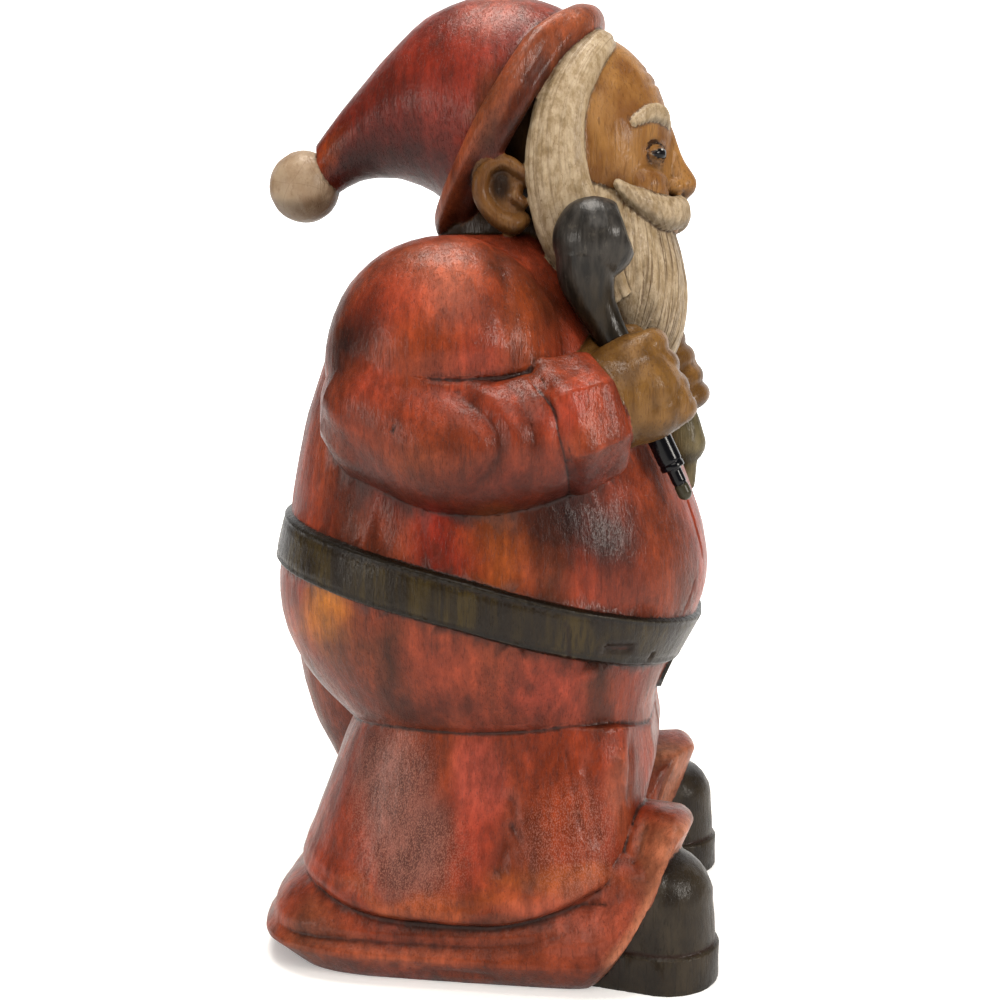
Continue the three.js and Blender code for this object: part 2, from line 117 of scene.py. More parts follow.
class Curve:
    """A smooth curve through rows of numbers, the first of each row being its place."""

    def __init__(self, rows):
        rows = np.array(rows, float)
        self.places = rows[:, 0]
        self.values = rows[:, 1:]
        self.slopes = np.gradient(self.values, self.places, axis=0)

    def __call__(self, place):
        place = np.clip(np.asarray(place, float), self.places[0], self.places[-1])
        i = np.clip(np.searchsorted(self.places, place) - 1, 0, len(self.places) - 2)
        step = self.places[i + 1] - self.places[i]
        t = ((place - self.places[i]) / step)[..., None]
        step = np.asarray(step)[..., None]
        first = self.values[i] * (1 + 2 * t) * (1 - t) ** 2 + self.slopes[i] * step * t * (1 - t) ** 2
        second = self.values[i + 1] * t ** 2 * (3 - 2 * t) + self.slopes[i + 1] * step * t ** 2 * (t - 1)
        return first + second


def along(stations):
    """A curve over the shares 0 to 1 of a run of evenly spaced stations."""
    count = len(stations) - 1
    return Curve([[i / count, *station] for i, station in enumerate(stations)])


def heading(line, share):
    """Direction of a curve whose rows begin with x, y and z."""
    return unit((line(min(share + 0.01, 1)) - line(max(share - 0.01, 0)))[:3])


def hashed(lattice, seed):
    """A number from 0 to 1 for each lattice point."""
    x, y, z = (lattice[:, k].astype(np.int64) for k in range(3))
    mixed = (x * 73856093) ^ (y * 19349663) ^ (z * 83492791) ^ (seed * 2654435761)
    mixed = (mixed ^ (mixed >> 13)) * 1274126177 & 0xFFFFFFFF
    return ((mixed ^ (mixed >> 16)) & 0xFFFF) / 65535.0


def noise(points, cell, seed=1):
    """Smooth noise from -1 to 1, with cells of that size along each axis."""
    scaled = points / np.asarray(cell, float)
    base = np.floor(scaled)
    part = scaled - base
    part = part * part * (3 - 2 * part)
    total = np.zeros(len(points))
    for corner in range(8):
        offset = np.array([corner & 1, corner >> 1 & 1, corner >> 2 & 1])
        weight = np.prod(np.where(offset, part, 1 - part), axis=1)
        total += weight * hashed(base + offset, seed)
    return total * 2 - 1


def srgb(red, green, blue):
    """A colour as the eye sees it under the studio light, on the 0 to 255 scale, as reflectance."""
    scaled = np.array([red, green, blue]) / 255
    linear = np.where(scaled <= 0.04045, scaled / 12.92, ((scaled + 0.055) / 1.055) ** 2.4)
    return linear / STUDIO_LIGHT


# Closed forms, each as (points, faces)

def skin(rings, closed=False):
    """A closed skin over rings of as many points each, ended by fans unless it closes on itself."""
    rings = np.array(rings)
    count, around, _ = rings.shape
    points = rings.reshape(-1, 3)
    index = np.arange(count * around).reshape(count, around)
    following = np.roll(index, -1, axis=1)
    if closed:
        ahead, ahead_following = np.roll(index, -1, axis=0), np.roll(following, -1, axis=0)
    else:
        ahead, ahead_following = index[1:], following[1:]
        index, following = index[:-1], following[:-1]
    faces = np.stack([index, following, ahead_following, ahead], axis=-1).reshape(-1, 4).tolist()
    if not closed:
        for ring, first in ((rings[0], 0), (rings[-1], (count - 1) * around)):
            middle = len(points)
            points = np.vstack([points, ring.mean(axis=0)])
            for j in range(around):
                pair = [first + j, first + (j + 1) % around]
                faces.append([*(pair if first else pair[::-1]), middle])
    return points, faces


def angles(around):
    return np.linspace(0, TAU, around, endpoint=False)


def oval(centre, half_a, half_b, around):
    turn = angles(around)[:, None]
    return centre + np.cos(turn) * half_a + np.sin(turn) * half_b


def squared_oval(a, half_width, half_depth, power):
    """Radius of a superellipse towards the angle a, measured from the front round to +X."""
    across = np.abs(np.sin(a) / half_width) ** power
    ahead = np.abs(np.cos(a) / half_depth) ** power
    return (across + ahead) ** (-1 / power)


def faceted(a, sides, amount):
    """Share of a circle's radius that leaves flat facets, softened by amount."""
    part = TAU / sides
    flat = math.cos(part / 2) / np.cos(a % part - part / 2)
    return lerp(1, flat, amount)


def polar(a, radius, middle, z):
    a, radius, z = np.broadcast_arrays(a, radius, z)
    return np.stack([radius * np.sin(a), middle - radius * np.cos(a), z], axis=-1)


def limb(stations, steps=28, around=28, squash=1, depth=1, side=(1, 0, 0)):
    """A round limb through stations (x, y, z, radius), with half-round ends."""
    line = along(stations)
    side = np.array(side, float)

    def ring(share, ahead, part):
        radius = line(share)[3]
        tangent = heading(line, share)
        across = unit(side - tangent * side.dot(tangent))
        up = np.cross(tangent, across)
        return oval(line(share)[:3] + tangent * ahead * radius, across * radius * part * squash,
                    up * radius * part * depth, around)

    caps = [math.radians(turn) for turn in (12, 35, 60, 78)]
    rings = [ring(0, -math.cos(cap), math.sin(cap)) for cap in caps]
    rings += [ring(i / steps, 0, 1) for i in range(steps + 1)]
    rings += [ring(1, math.cos(cap), math.sin(cap)) for cap in reversed(caps)]
    return skin(rings)


def egg(centre, radii, tilt=0.0, columns=36, rows=24):
    """An ellipsoid, tilted about the X axis by that many degrees."""
    centre = np.array(centre, float)
    turn = np.array(Matrix.Rotation(math.radians(tilt), 3, "X"))
    rings = []
    for row in range(1, rows):
        down = math.pi * row / rows
        flat_ring = oval(vec(0, 0, -math.cos(down)), vec(math.sin(down), 0, 0),
                         vec(0, math.sin(down), 0), columns)
        rings.append(centre + (flat_ring * np.array(radii, float)) @ turn.T)
    return skin(rings)


# The coat, belt, skirt and hem

COAT = Curve([
    [60, -50, 40, 46],
    [70, -54.5, 45, 51],
    [79, -55.5, 54, 56],
    [90, -60, 62, 61],
    [101, -66, 67, 64.5],
    [112, -70.6, 69, 66],
    [120, -71.6, 68.5, 66],
    [132, -70, 65.4, 65],
    [146, -65.5, 63.5, 62],
    [160, -60, 61, 59],
    [172, -55, 58, 56],
    [184, -49, 54, 53],
    [196, -42, 49, 54],
    [207, -34, 43, 50],
    [217, -27, 34, 42],
    [225, -20, 22, 29],
])
COAT_FOOT = 60
COAT_COLLAR = 225
COAT_POWER = 2.25  # of its round cross-section
COAT_FOOT_POWER = 3.2  # in front, where it meets the skirt's corners


def coat_point(a, height, margin):
    front, back, half_width = np.moveaxis(COAT(height), -1, 0)
    corners = smoothstep(np.cos(a), 0, 0.5) * (1 - smoothstep(height, 70, 96))
    power = lerp(COAT_POWER, COAT_FOOT_POWER, corners)
    radius = squared_oval(a, half_width, (back - front) / 2, power) + margin
    return polar(a, radius, (front + back) / 2, height)


def coat():
    a = angles(160)
    return skin([coat_point(a, np.full(len(a), height), 0)
                 for height in np.linspace(COAT_FOOT, COAT_COLLAR, 110)])


BELT_HEIGHT = 116  # of its middle, between front and back
BELT_DROP = 18  # from there to the front
BELT_RISE = 15  # from there to the back


def belt_middle(a):
    slope = np.where(np.cos(a) > 0, BELT_DROP, BELT_RISE)
    return BELT_HEIGHT - slope * np.cos(a) + 1.5 * np.abs(np.sin(a))


def belt():
    half = BELT_WIDTH / 2
    section = [(-half, -BELT_PROUD), (-half, 0.6 * BELT_PROUD), (-half + 0.8, BELT_PROUD),
               (half - 0.8, BELT_PROUD), (half, 0.6 * BELT_PROUD), (half, -BELT_PROUD)]
    return skin([[coat_point(a, belt_middle(a) + rise, proud) for rise, proud in section]
                 for a in angles(200)], closed=True)


def buckle():
    """A plate with its corners cut, bent to the underside of the belly."""
    foot, top, corner = 80, 105, 3.5
    rings = []
    for height in np.linspace(foot, top, 30):
        cut = max(corner - (height - foot), corner - (top - height), 0)
        reach = (BUCKLE_WIDTH / 2 - cut) / 68
        face = coat_point(np.linspace(-reach, reach, 17), np.full(17, height), BUCKLE_PROUD)
        inside = coat_point(np.linspace(reach, -reach, 17), np.full(17, height), -3)
        rings.append(np.vstack([face, inside]))
    return skin(rings)


SKIRT = Curve([
    [0, -50, 57, 66],
    [0.08, -51, 59, 68],
    [0.25, -52.5, 56, 65],
    [0.5, -54.5, 51, 60.5],
    [0.8, -57, 45, 56],
    [1, -57, 40, 53.8],
])
SKIRT_TOP = 78
SKIRT_TOP_DIP = 6  # how much lower the top is in front
SKIRT_PANEL_TURN = math.radians(20.5)
SKIRT_PANEL_REACH = 62.5


def skirt_ring(a, share):
    """Two flat panels meet the rounded side of the skirt in an upright edge on each side."""
    front, back, half_width = SKIRT(share)
    middle = (front + back) / 2
    facing = np.cos(a)
    power = np.where(facing > 0, 4.4, 2.9)
    rounded = squared_oval(a, half_width, (back - front) / 2, power)
    turn = turned(a)
    reach = SKIRT_PANEL_REACH + middle * math.cos(SKIRT_PANEL_TURN)
    panel = reach / np.maximum(np.cos(turn - SKIRT_PANEL_TURN), 0.2)
    edge = 19.5 + 12 * smoothstep(facing, 0.15, 0.75) + 4 * smoothstep(-facing, 0.2, 0.9)
    tucked = 1.6 * smoothstep(share, 0.72, 1) * smoothstep(facing, 0.1, 0.8)
    top = SKIRT_TOP - SKIRT_TOP_DIP * smoothstep(facing, 0.55, 0.95)
    return polar(a, np.minimum(rounded, panel) - tucked, middle, lerp(edge, top, share))


def skirt():
    a = angles(180)
    core = polar(a, squared_oval(a, 50, 42, 3), 0, 12.0)
    shares = np.concatenate([[0], np.linspace(0.02, 1, 40)])
    return skin([core, *[skirt_ring(a, share) for share in shares]])


# From the ground up: share of the hem's height, front, back, half width. Its rim is at HEM_RIM.
HEM_RIM = 0.34
HEM = np.array([
    [0, -61.5, 58.5, 62],
    [0.12, -64.5, 62, 64.5],
    [HEM_RIM, -69.5, 68, 68],
    [0.5, -69, 66.2, 66.8],
    [0.66, -68.4, 64.6, 65.8],
    [0.84, -67.6, 60.5, 62.8],
    [0.97, -66.4, 56, 60],
    [1, -56, 54, 58],
])


def hem_lift(a):
    """How far the hem is lifted towards an angle, from 0 on the ground to 1 over a shoe."""
    turn = np.degrees(turned(a))
    return smoothstep(turn, 8, 24) * (1 - smoothstep(turn, 38, 60))


def hem_ring(a, share):
    """The hem turns in under its rim where it lies on the ground, and ends in it over a shoe."""
    lift = hem_lift(a)
    part = lerp(share, lerp(HEM_RIM, 1, share), lift)
    front, back, half_width = (np.interp(part, HEM[:, 0], HEM[:, k]) for k in (1, 2, 3))
    valley = 1 - 0.24 * smoothstep(np.cos(a), 0.88, 0.99)
    radius = squared_oval(a, half_width, (back - front) / 2, 5) * valley
    turn = np.degrees(turned(a))
    roof = 51 - 9 * (1 - smoothstep(turn, 12, 36))
    z = lerp(lerp(0, 46, lift), lerp(25, lerp(46, roof, lift), lift), share)
    return polar(a, radius, (front + back) / 2, z)


def hem():
    a = angles(220)
    sole = polar(a, squared_oval(a, 54, 52, 3.6), 0, 0.0)
    shares = np.unique(np.concatenate([np.linspace(0, 1, 56), HEM[:, 0]]))
    return skin([sole, *[hem_ring(a, share) for share in shares]])


def shoe(side):
    """A flat sole with its welt, and a round upper that runs back under the hem."""
    length, half_width = 59, 16.5

    def outline(grow):
        w = half_width + grow
        turn = np.linspace(math.pi, TAU, 40)
        toe = np.stack([w * np.cos(turn), -length + half_width + w * np.sin(turn)], axis=-1)
        heel_width = w - 6
        heel = np.linspace([heel_width, 0], [-heel_width, 0], 14)[1:-1]
        sides = np.linspace([w, toe[-1, 1]], [heel_width, 0], 14)[1:]
        back = np.linspace([-heel_width, 0], [-w, toe[0, 1]], 14)[:-1]
        return np.vstack([toe, sides, heel, back])

    def place(form):
        points, faces = form
        turn = np.array(Matrix.Rotation(math.radians(3.5 * side), 3, "Z"))
        return points @ turn.T + vec(42.5 * side, -17, 0), faces

    def ring(grow, width, pulled, z):
        flat = outline(grow)
        return np.stack([flat[:, 0] * width, flat[:, 1] * (1 - pulled), np.full(len(flat), z)], axis=-1)

    welt_edge = [(0.0, SOLE_WELT), (SOLE_THICKNESS - 0.8, SOLE_WELT), (SOLE_THICKNESS, SOLE_WELT - 0.9)]
    sole = skin([ring(grow, 1, 0, z) for z, grow in welt_edge])
    upper = Curve([[0, 1, 0], [0.4, 1, 0.01], [0.7, 0.93, 0.035], [0.9, 0.74, 0.11], [1, 0.5, 0.2]])
    rings = [ring(0, *upper(share), lerp(SOLE_THICKNESS - 1, 39, share)) for share in np.linspace(0, 1, 24)]
    return place(sole), place(skin(rings))


# Arms and hands

def shoulder(side):
    return egg((42 * side, 8, 186.5), (28, 36, 38))


def forearm(side):
    return limb([
        (46 * side, 20, 172, 25),
        (54.5 * side, 3, 163.5, 21.5),
        (55.5 * side, -15, 164.5, 20.5),
        (51 * side, -31, 169, 18.5),
    ], around=60)


def cuff(side):
    wrist = vec(55 * side, -24, 167)
    reach = unit(vec(-0.42 * side, -0.86, 0.3))
    profile = [(0, 19.6), (0.08, 20.6), (0.5, 20.2), (0.9, 18.6), (0.97, 17.6), (1, 16)]
    line = Curve([[share, radius] for share, radius in profile])
    across = unit(vec(1, 0, 0) - reach * reach[0])
    up = np.cross(reach, across)
    rings = []
    for share in np.linspace(0, 1, 26):
        radius = line(share)[0]
        ring = oval(vec(0, 0, 0), across * radius, up * radius, 84)
        rings.append(wrist + reach * CUFF_WIDTH * share + ring * faceted(angles(84), 7, 0.95)[:, None])
    return skin(rings)


GRIP_MIDDLE = vec(-38, -49.6, 178.5)
GRIP_AXIS = unit(vec(0, -0.43, -0.9))
SACK_GRIP = vec(37, -54, 178.5)


def fist_frame(side, middle):
    forward = vec(0, GRIP_AXIS[2], -GRIP_AXIS[1])

    def spot(down, out, front, radius):
        place = middle + GRIP_AXIS * down + vec(side, 0, 0) * out + forward * front
        return (*place, radius)

    return spot


def fist_back(side, middle):
    """The back of the hand; the right one is broader and hides the knuckles' outer side."""
    spot = fist_frame(side, middle)
    if side == LEFT:
        return [limb([spot(1, 4, -17, 12), spot(0, 5.5, -4, 13.5), spot(0, 3, 3, 11.5)], around=48)]
    return [
        limb([spot(1, 4, -17, 12.5), spot(0.5, 5.5, -6, 14.4), spot(0, 5, 1, 13)], around=60),
        limb([spot(-7, 5, -6, 9), spot(-8, 5.5, 2, 8.6), spot(-8, 3, 6, 7.8)], around=40),
        limb([spot(4, 6, -8, 10), spot(6, 7, 0, 9.8), spot(6.5, 4, 5.5, 9)], around=40),
    ]


def fingers(side, middle):
    spot = fist_frame(side, middle)
    outer = 8.5 if side == LEFT else 6.5
    return [limb([
        spot(down, outer, 2.5, radius + 0.8),
        spot(down, 4.5, 9.4, radius),
        spot(down, -4.5, 9, radius),
        spot(down, -9.5, 2, radius),
        spot(down, -8, -5, radius - 0.8),
    ], side=GRIP_AXIS) for down, radius in ((-10.5, 4.7), (-3.6, 5.1), (3.6, 5), (10.3, 4.5))]


def thumb(side, middle):
    spot = fist_frame(side, middle)
    return limb([spot(-12, 2, -10, 5.6), spot(-16.5, -4, -3, 4.6), spot(-15, -6.5, 5, 4)], side=GRIP_AXIS)


# Head, with a plain face on even proportions, hair, beard and hat

CHIN = 211
CROWN = 289


def face_height(share):
    return lerp(CHIN, CROWN, share)


EYES = face_height(0.5)
BROWS = face_height(0.62)
NOSE_FOOT = face_height(0.34)


def skull():
    return egg((0, -29, 250), (27, 29.5, 39), columns=60, rows=40)


def neck():
    return egg((0, -8, 228), (22, 25, 14))


def nose():
    bridge = limb([(0, -55.5, EYES + 8, 3), (0, -58.6, EYES - 1, 3.3), (0, -61.6, NOSE_FOOT + 4.4, 4.6)])
    wings = [egg((4.3 * side, -58.6, NOSE_FOOT + 3.2), (2.9, 4, 2.8)) for side in BOTH]
    return [bridge, *wings]


def cheek(side):
    return egg((12.5 * side, -49.3, face_height(0.375)), (9.5, 8.5, 7.5))


def eyeball(side):
    return egg((12 * side, -52, EYES), (5.4, 4.8, 3.8))


def eyelids(side):
    lids = []
    for rise, radius in ((2.9, 1.3), (-2.7, 1.0)):
        lids.append(limb([
            (6.0 * side, -55.4, EYES - 0.4, 0.8),
            (8.8 * side, -56.3, EYES + 0.85 * rise, radius),
            (12.6 * side, -55.6, EYES + rise, radius),
            (15.8 * side, -53.2, EYES + 0.7 * rise, radius),
            (18.2 * side, -49.8, EYES - 0.2, 0.9),
        ], around=16, side=(0, 0, 1)))
    return lids


def brow(side):
    return limb([
        (3.8 * side, -56.6, BROWS + 0.2, 1.9),
        (9.5 * side, -55.6, BROWS + 2.6, 2.6),
        (15.5 * side, -52.2, BROWS + 2.8, 2.4),
        (21 * side, -47, BROWS - 0.6, 1.4),
    ], squash=1.15, depth=0.62, side=(0, 0, 1))


def lower_lip():
    return limb([(-7, -55, 229.4, 1.6), (0, -58.6, 228.6, 2.5), (7, -55, 229.4, 1.6)], side=(0, 0, 1))


def ear(side):
    x = 29 * side
    shell = egg((27 * side, -7.5, 237.5), (2.6, 6.5, 9.5))
    rim = limb([
        (x - 3 * side, -15.5, 240, 1.6),
        (x, -12.5, 244.4, 2.1),
        (x, -8, 246.6, 2.4),
        (x + side, -2.6, 244, 2.5),
        (x + side, -1.2, 237, 2.5),
        (x, -5.4, 230.6, 2.8),
        (x - side, -10.5, 228, 3.2),
        (x - 3 * side, -13.5, 229.5, 2.6),
    ], steps=60, around=20)
    fold = limb([
        (x - 2 * side, -13.5, 234.5, 2.2),
        (x - 0.4 * side, -11.5, 236.5, 1.9),
        (x - 1.6 * side, -12.5, 240, 1.4),
    ], around=16)
    return [shell, rim, fold]


HAIR_STATIONS = [
    (0, -35.6, 285, 4.6),
    (12, -34.6, 283, 5.6),
    (21.5, -29.4, 274.5, 7),
    (26.5, -25, 263, 8),
    (28.5, -23.8, 250, 9),
    (29, -25.4, 238, 10),
    (28.5, -29.2, 226, 10.8),
    (27, -35, 214, 9.5),
    (25, -41, 204, 7),
]
SKULL_MIDDLE = vec(0, -24, 250)
HAIR_THICKNESS = 4.6


def hair_frame(side, share):
    """Place, outward and crosswise directions, and half width, of the hair beside the face."""
    line = along([(x * side, y, z, half) for x, y, z, half in HAIR_STATIONS])
    place = line(share)[:3]
    tangent = heading(line, share)
    out = place - SKULL_MIDDLE
    out = unit(out - tangent * out.dot(tangent))
    return place, out, np.cross(tangent, out), line(share)[3]


def hair(side):
    rings = []
    for share in np.linspace(0, 1, 48):
        place, out, across, half = hair_frame(side, share)
        rings.append(oval(place, out * HAIR_THICKNESS, across * half, 40))
    return skin(rings)


BEARD = Curve([
    [184, -57, -48, 4],
    [187, -59.5, -43, 9.5],
    [193, -62, -34, 16.5],
    [201, -63.4, -26, 22.5],
    [210, -63.4, -20, 27],
    [220, -61.5, -16, 29],
    [230, -57.5, -14, 28.5],
    [238, -51, -14, 27],
    [246, -42, -16, 24],
])
BEARD_TIP = 184
BEARD_ROOT = 246
BEARD_LOCKS = 12


def beard():
    a = angles(240)
    rings = []
    for height in np.linspace(BEARD_TIP, BEARD_ROOT, 70):
        front, back, half_width = BEARD(height)
        fading = smoothstep(height, BEARD_TIP, BEARD_TIP + 8)
        fading = fading * (1 - smoothstep(height, BEARD_ROOT - 12, BEARD_ROOT))
        sway = 0.5 * np.sin(height * 0.16 + a * 2)
        lock = 1 + 0.016 * fading * np.cos((a + 0.03 * sway) * BEARD_LOCKS)
        radius = squared_oval(a, half_width, (back - front) / 2, 2.1) * lock
        rings.append(polar(a, radius, (front + back) / 2, height))
    return skin(rings)


def moustache(side):
    return limb([
        (0.5 * side, -61, 234.6, 3.6),
        (8 * side, -60.4, 232.6, 4.8),
        (16.5 * side, -56, 232, 4.8),
        (23 * side, -48.6, 235.5, 3.4),
        (26 * side, -42.5, 240, 1.6),
    ], around=36, squash=1.05, depth=0.8, side=(0, 0, 1))


HAT = along([
    (-33, 291, 11, 226, 31),
    (-17, 299, 14.5, 236, 30.5),
    (1, 301, 20, 241, 27),
    (17, 296.5, 27.5, 244.2, 22.5),
    (31, 285.5, 34.5, 245.5, 17.5),
    (44, 271.5, 41.5, 245, 12.5),
    (52.5, 262, 47, 243, 9.5),
    (57.5, 256, 52, 240, 8),
])


def hat():
    rings = []
    for share in np.linspace(0, 1, 90):
        upper_y, upper_z, lower_y, lower_z, half = HAT(share)
        upper, lower = vec(0, upper_y, upper_z), vec(0, lower_y, lower_z)
        rings.append(oval((upper + lower) / 2, vec(half, 0, 0), (upper - lower) / 2, 100))
    return skin(rings)


BRIM_FRONT = vec(0, -29.8, 293.5)
BRIM_NAPE = vec(0, 9.5, 226.5)
BRIM_HALF_WIDTH = 31.5


def brim():
    """The turned-up brim: a band round the head, thick and rolled over the forehead."""
    centre = (BRIM_FRONT + BRIM_NAPE) / 2
    rise = (BRIM_FRONT - BRIM_NAPE) / 2
    towards_face = unit(vec(0, -rise[2], rise[1]))
    rings = []
    for a in angles(180):
        top = smoothstep(math.cos(a), 0.55, 1)
        out = unit(unit(rise) * math.cos(a) + vec(1, 0, 0) * math.sin(a))
        middle = centre + rise * math.cos(a) + vec(BRIM_HALF_WIDTH, 0, 0) * math.sin(a)
        middle = middle + towards_face * lerp(-2.3, 1.5, top)
        wide = unit(towards_face + out * lerp(-0.22, 0, top))
        thick = unit(out - wide * out.dot(wide))
        wide = wide * lerp(6.2, 5.6, top)
        thick = thick * lerp(3.5, 5, top)
        turn = angles(36)[:, None]
        squarer = np.sign(np.cos(turn)) * np.abs(np.cos(turn)) ** lerp(0.7, 1, top)
        rings.append(middle + squarer * wide + np.sin(turn) * thick)
    return skin(rings, closed=True)


def pompom():
    return egg((0, 62, 242.6), (POMPOM_RADIUS,) * 3, columns=60, rows=40)


# Sack on the back, its gathered neck over the left shoulder and through the left fist

def sack_bag():
    return limb([
        (39, 46, 37, 17),
        (41, 46, 54, 26),
        (41, 46, 78, 31),
        (39, 44, 104, 30),
        (37, 41, 134, 26),
        (35, 36, 162, 20.5),
        (34, 28, 188, 14),
    ], steps=60, around=70)


def sack_neck():
    return limb([
        (34, 28, 186, 13),
        (34, 18, 208, 9),
        (34, 2, 222, 7),
        (34.5, -18, 221, 6.2),
        (36, -38, 208, 5.6),
        (37, -48.5, 194, 5.6),
        (37, -55, 178, 6.4),
        (37, -61, 165, 6.4),
        (37, -63.5, 156, 7),
    ], steps=90, around=40)


def cord_end():
    return limb([(37, -65, 158, 3.2), (37, -64.5, 142, 2.4)], around=20)


# Pipe: places down its straight part are counted from the middle of the grip

SHANK_START = -10
SHANK_END = 26
STEM_START = 24
STEM_END = 34
STEM_RINGS = (24, 31)
BOWL_MIDDLE = vec(-38.5, -36.6, 222.8)
BOWL_MOUTH = vec(-38.5, -45.2, 227.2)
BOWL_FACING = unit(vec(0, -0.94, 0.34))


def grip_bar(radius, start, end):
    across = vec(1, 0, 0)
    up = np.cross(GRIP_AXIS, across)
    return skin([oval(GRIP_MIDDLE + GRIP_AXIS * down, across * radius, up * radius, 40)
                 for down in (start, end)])


def bowl_and_shank(grow=0):
    def on_grip(down, thicker=0.0):
        return (*(GRIP_MIDDLE + GRIP_AXIS * down), SHANK_RADIUS + thicker)

    stations = [
        (-38.5, -35, 217.5, 10),
        (-38.5, -34.6, 211.5, 8.6),
        (-38.4, -36.6, 204.5, 6.5),
        (-38.2, -39.8, 198.5, 5.4),
        on_grip(-13, 1.1),
        on_grip(-6),
    ]
    shank = limb([(x, y, z, radius + grow) for x, y, z, radius in stations], steps=60, around=44)
    bowl_radii = (10.8 + grow, 12.4 + grow, 12.6 + grow)
    return [egg(BOWL_MIDDLE, bowl_radii, tilt=-20, columns=60, rows=40), shank]


# Meshes

def mesh_of(name, form):
    points, faces = form
    mesh = bpy.data.meshes.new(name)
    mesh.from_pydata(np.asarray(points).tolist(), [], [list(face) for face in faces])
    mesh.validate()
    return mesh


def merged(forms):
    points, faces, start = [], [], 0
    for form_points, form_faces in forms:
        points.append(np.asarray(form_points))
        faces += [[start + corner for corner in face] for face in form_faces]
        start += len(form_points)
    return np.vstack(points), faces


def place_object(name, data):
    made = bpy.data.objects.new(name, data)
    bpy.context.scene.collection.objects.link(made)
    return made


def bake_modifiers(made):
    """Replaces an object's mesh by what its modifiers make of it."""
    seen = made.evaluated_get(bpy.context.evaluated_depsgraph_get())
    mesh = bpy.data.meshes.new_from_object(seen)
    old = made.data
    made.modifiers.clear()
    made.data = mesh
    bpy.data.meshes.remove(old)


def melted(name, forms, voxel):
    """One skin round a set of closed forms that run into each other."""
    made = place_object(name, mesh_of(name, merged(forms)))
    melt = made.modifiers.new("melt", "REMESH")
    melt.mode = "VOXEL"
    melt.voxel_size = voxel
    bake_modifiers(made)
    return made


def cut_away(made, cutter_mesh):
    """Takes a solid out of an object."""
    cutter = place_object("cutter", cutter_mesh)
    cut = made.modifiers.new("cut", "BOOLEAN")
    cut.operation = "DIFFERENCE"
    cut.solver = "MANIFOLD"
    cut.object = cutter
    bake_modifiers(made)
    bpy.data.objects.remove(cutter)


def thin_out(made, triangles, density):
    """Lowers the number of triangles, keeping more of them where density is high."""
    group = made.vertex_groups.new(name="density")
    levels = 20
    steps = np.round(np.clip(density, 0, 1) * levels).astype(int)
    for step in range(1, levels + 1):
        group.add(np.nonzero(steps == step)[0].tolist(), step / levels, "REPLACE")
    thin = made.modifiers.new("thin", "DECIMATE")
    thin.ratio = min(triangles / (2 * len(made.data.polygons)), 1)
    thin.use_collapse_triangulate = True
    thin.vertex_group = group.name
    thin.invert_vertex_group = True
    thin.vertex_group_factor = 6
    bake_modifiers(made)
    made.vertex_groups.clear()


def read_vectors(items, key):
    flat = np.empty(len(items) * 3, np.float32)
    items.foreach_get(key, flat)
    return flat.reshape(-1, 3).astype(float)


def read_points(mesh):
    return read_vectors(mesh.vertices, "co")


def read_normals(mesh):
    return read_vectors(mesh.vertex_normals, "vector")


def write_points(mesh, points):
    mesh.vertices.foreach_set("co", points.astype(np.float32).ravel())
    mesh.update()


def store(mesh, name, values):
    """Keeps a number or a colour on each point of a mesh, for its material."""
    values = np.asarray(values, np.float32)
    if values.ndim == 1:
        layer = mesh.attributes.new(name, "FLOAT", "POINT")
        layer.data.foreach_set("value", values)
    else:
        layer = mesh.attributes.new(name, "FLOAT_COLOR", "POINT")
        layer.data.foreach_set("color", np.column_stack([values, np.ones(len(values))]).ravel())


class Smoother:
    """Averages values over the neighbours of each point of a mesh."""

    def __init__(self, mesh):
        edges = np.empty(len(mesh.edges) * 2, np.int32)
        mesh.edges.foreach_get("vertices", edges)
        self.a, self.b = edges.reshape(-1, 2).T
        self.count = len(mesh.vertices)
        ends = np.bincount(self.a, minlength=self.count) + np.bincount(self.b, minlength=self.count)
        self.ends = np.maximum(ends, 1)

    def average(self, values):
        columns = values.reshape(self.count, -1)
        out = np.empty_like(columns)
        for k, column in enumerate(columns.T):
            summed = np.bincount(self.a, column[self.b], self.count)
            summed += np.bincount(self.b, column[self.a], self.count)
            out[:, k] = summed / self.ends
        return out.reshape(values.shape)

    def relax(self, values, times, amount=0.5):
        for _ in range(times):
            values = values + (self.average(values) - values) * amount
        return values


def hollow_measure(mesh, points, rounds):
    """How far each point lies below the middle of its surroundings: hollows above 0, edges below."""
    rounds = max(round(rounds * (0.5 / VOXEL) ** 2), 1)
    return ((Smoother(mesh).relax(points, rounds) - points) * read_normals(mesh)).sum(axis=1)


def distance_field(points, forms, reach):
    """Distance from each point to the nearest of some forms, no further than reach."""
    form_points, faces = merged(forms)
    far = np.full(len(points), float(reach))
    low, high = form_points.min(axis=0) - reach, form_points.max(axis=0) + reach
    tree = BVHTree.FromPolygons(form_points.tolist(), faces)
    for i in np.nonzero(np.all((points > low) & (points < high), axis=1))[0]:
        hit = tree.find_nearest(points[i], far[i])
        if hit[0] is not None:
            far[i] = hit[3]
    return far


# Zones of paint, and the forms that carry them

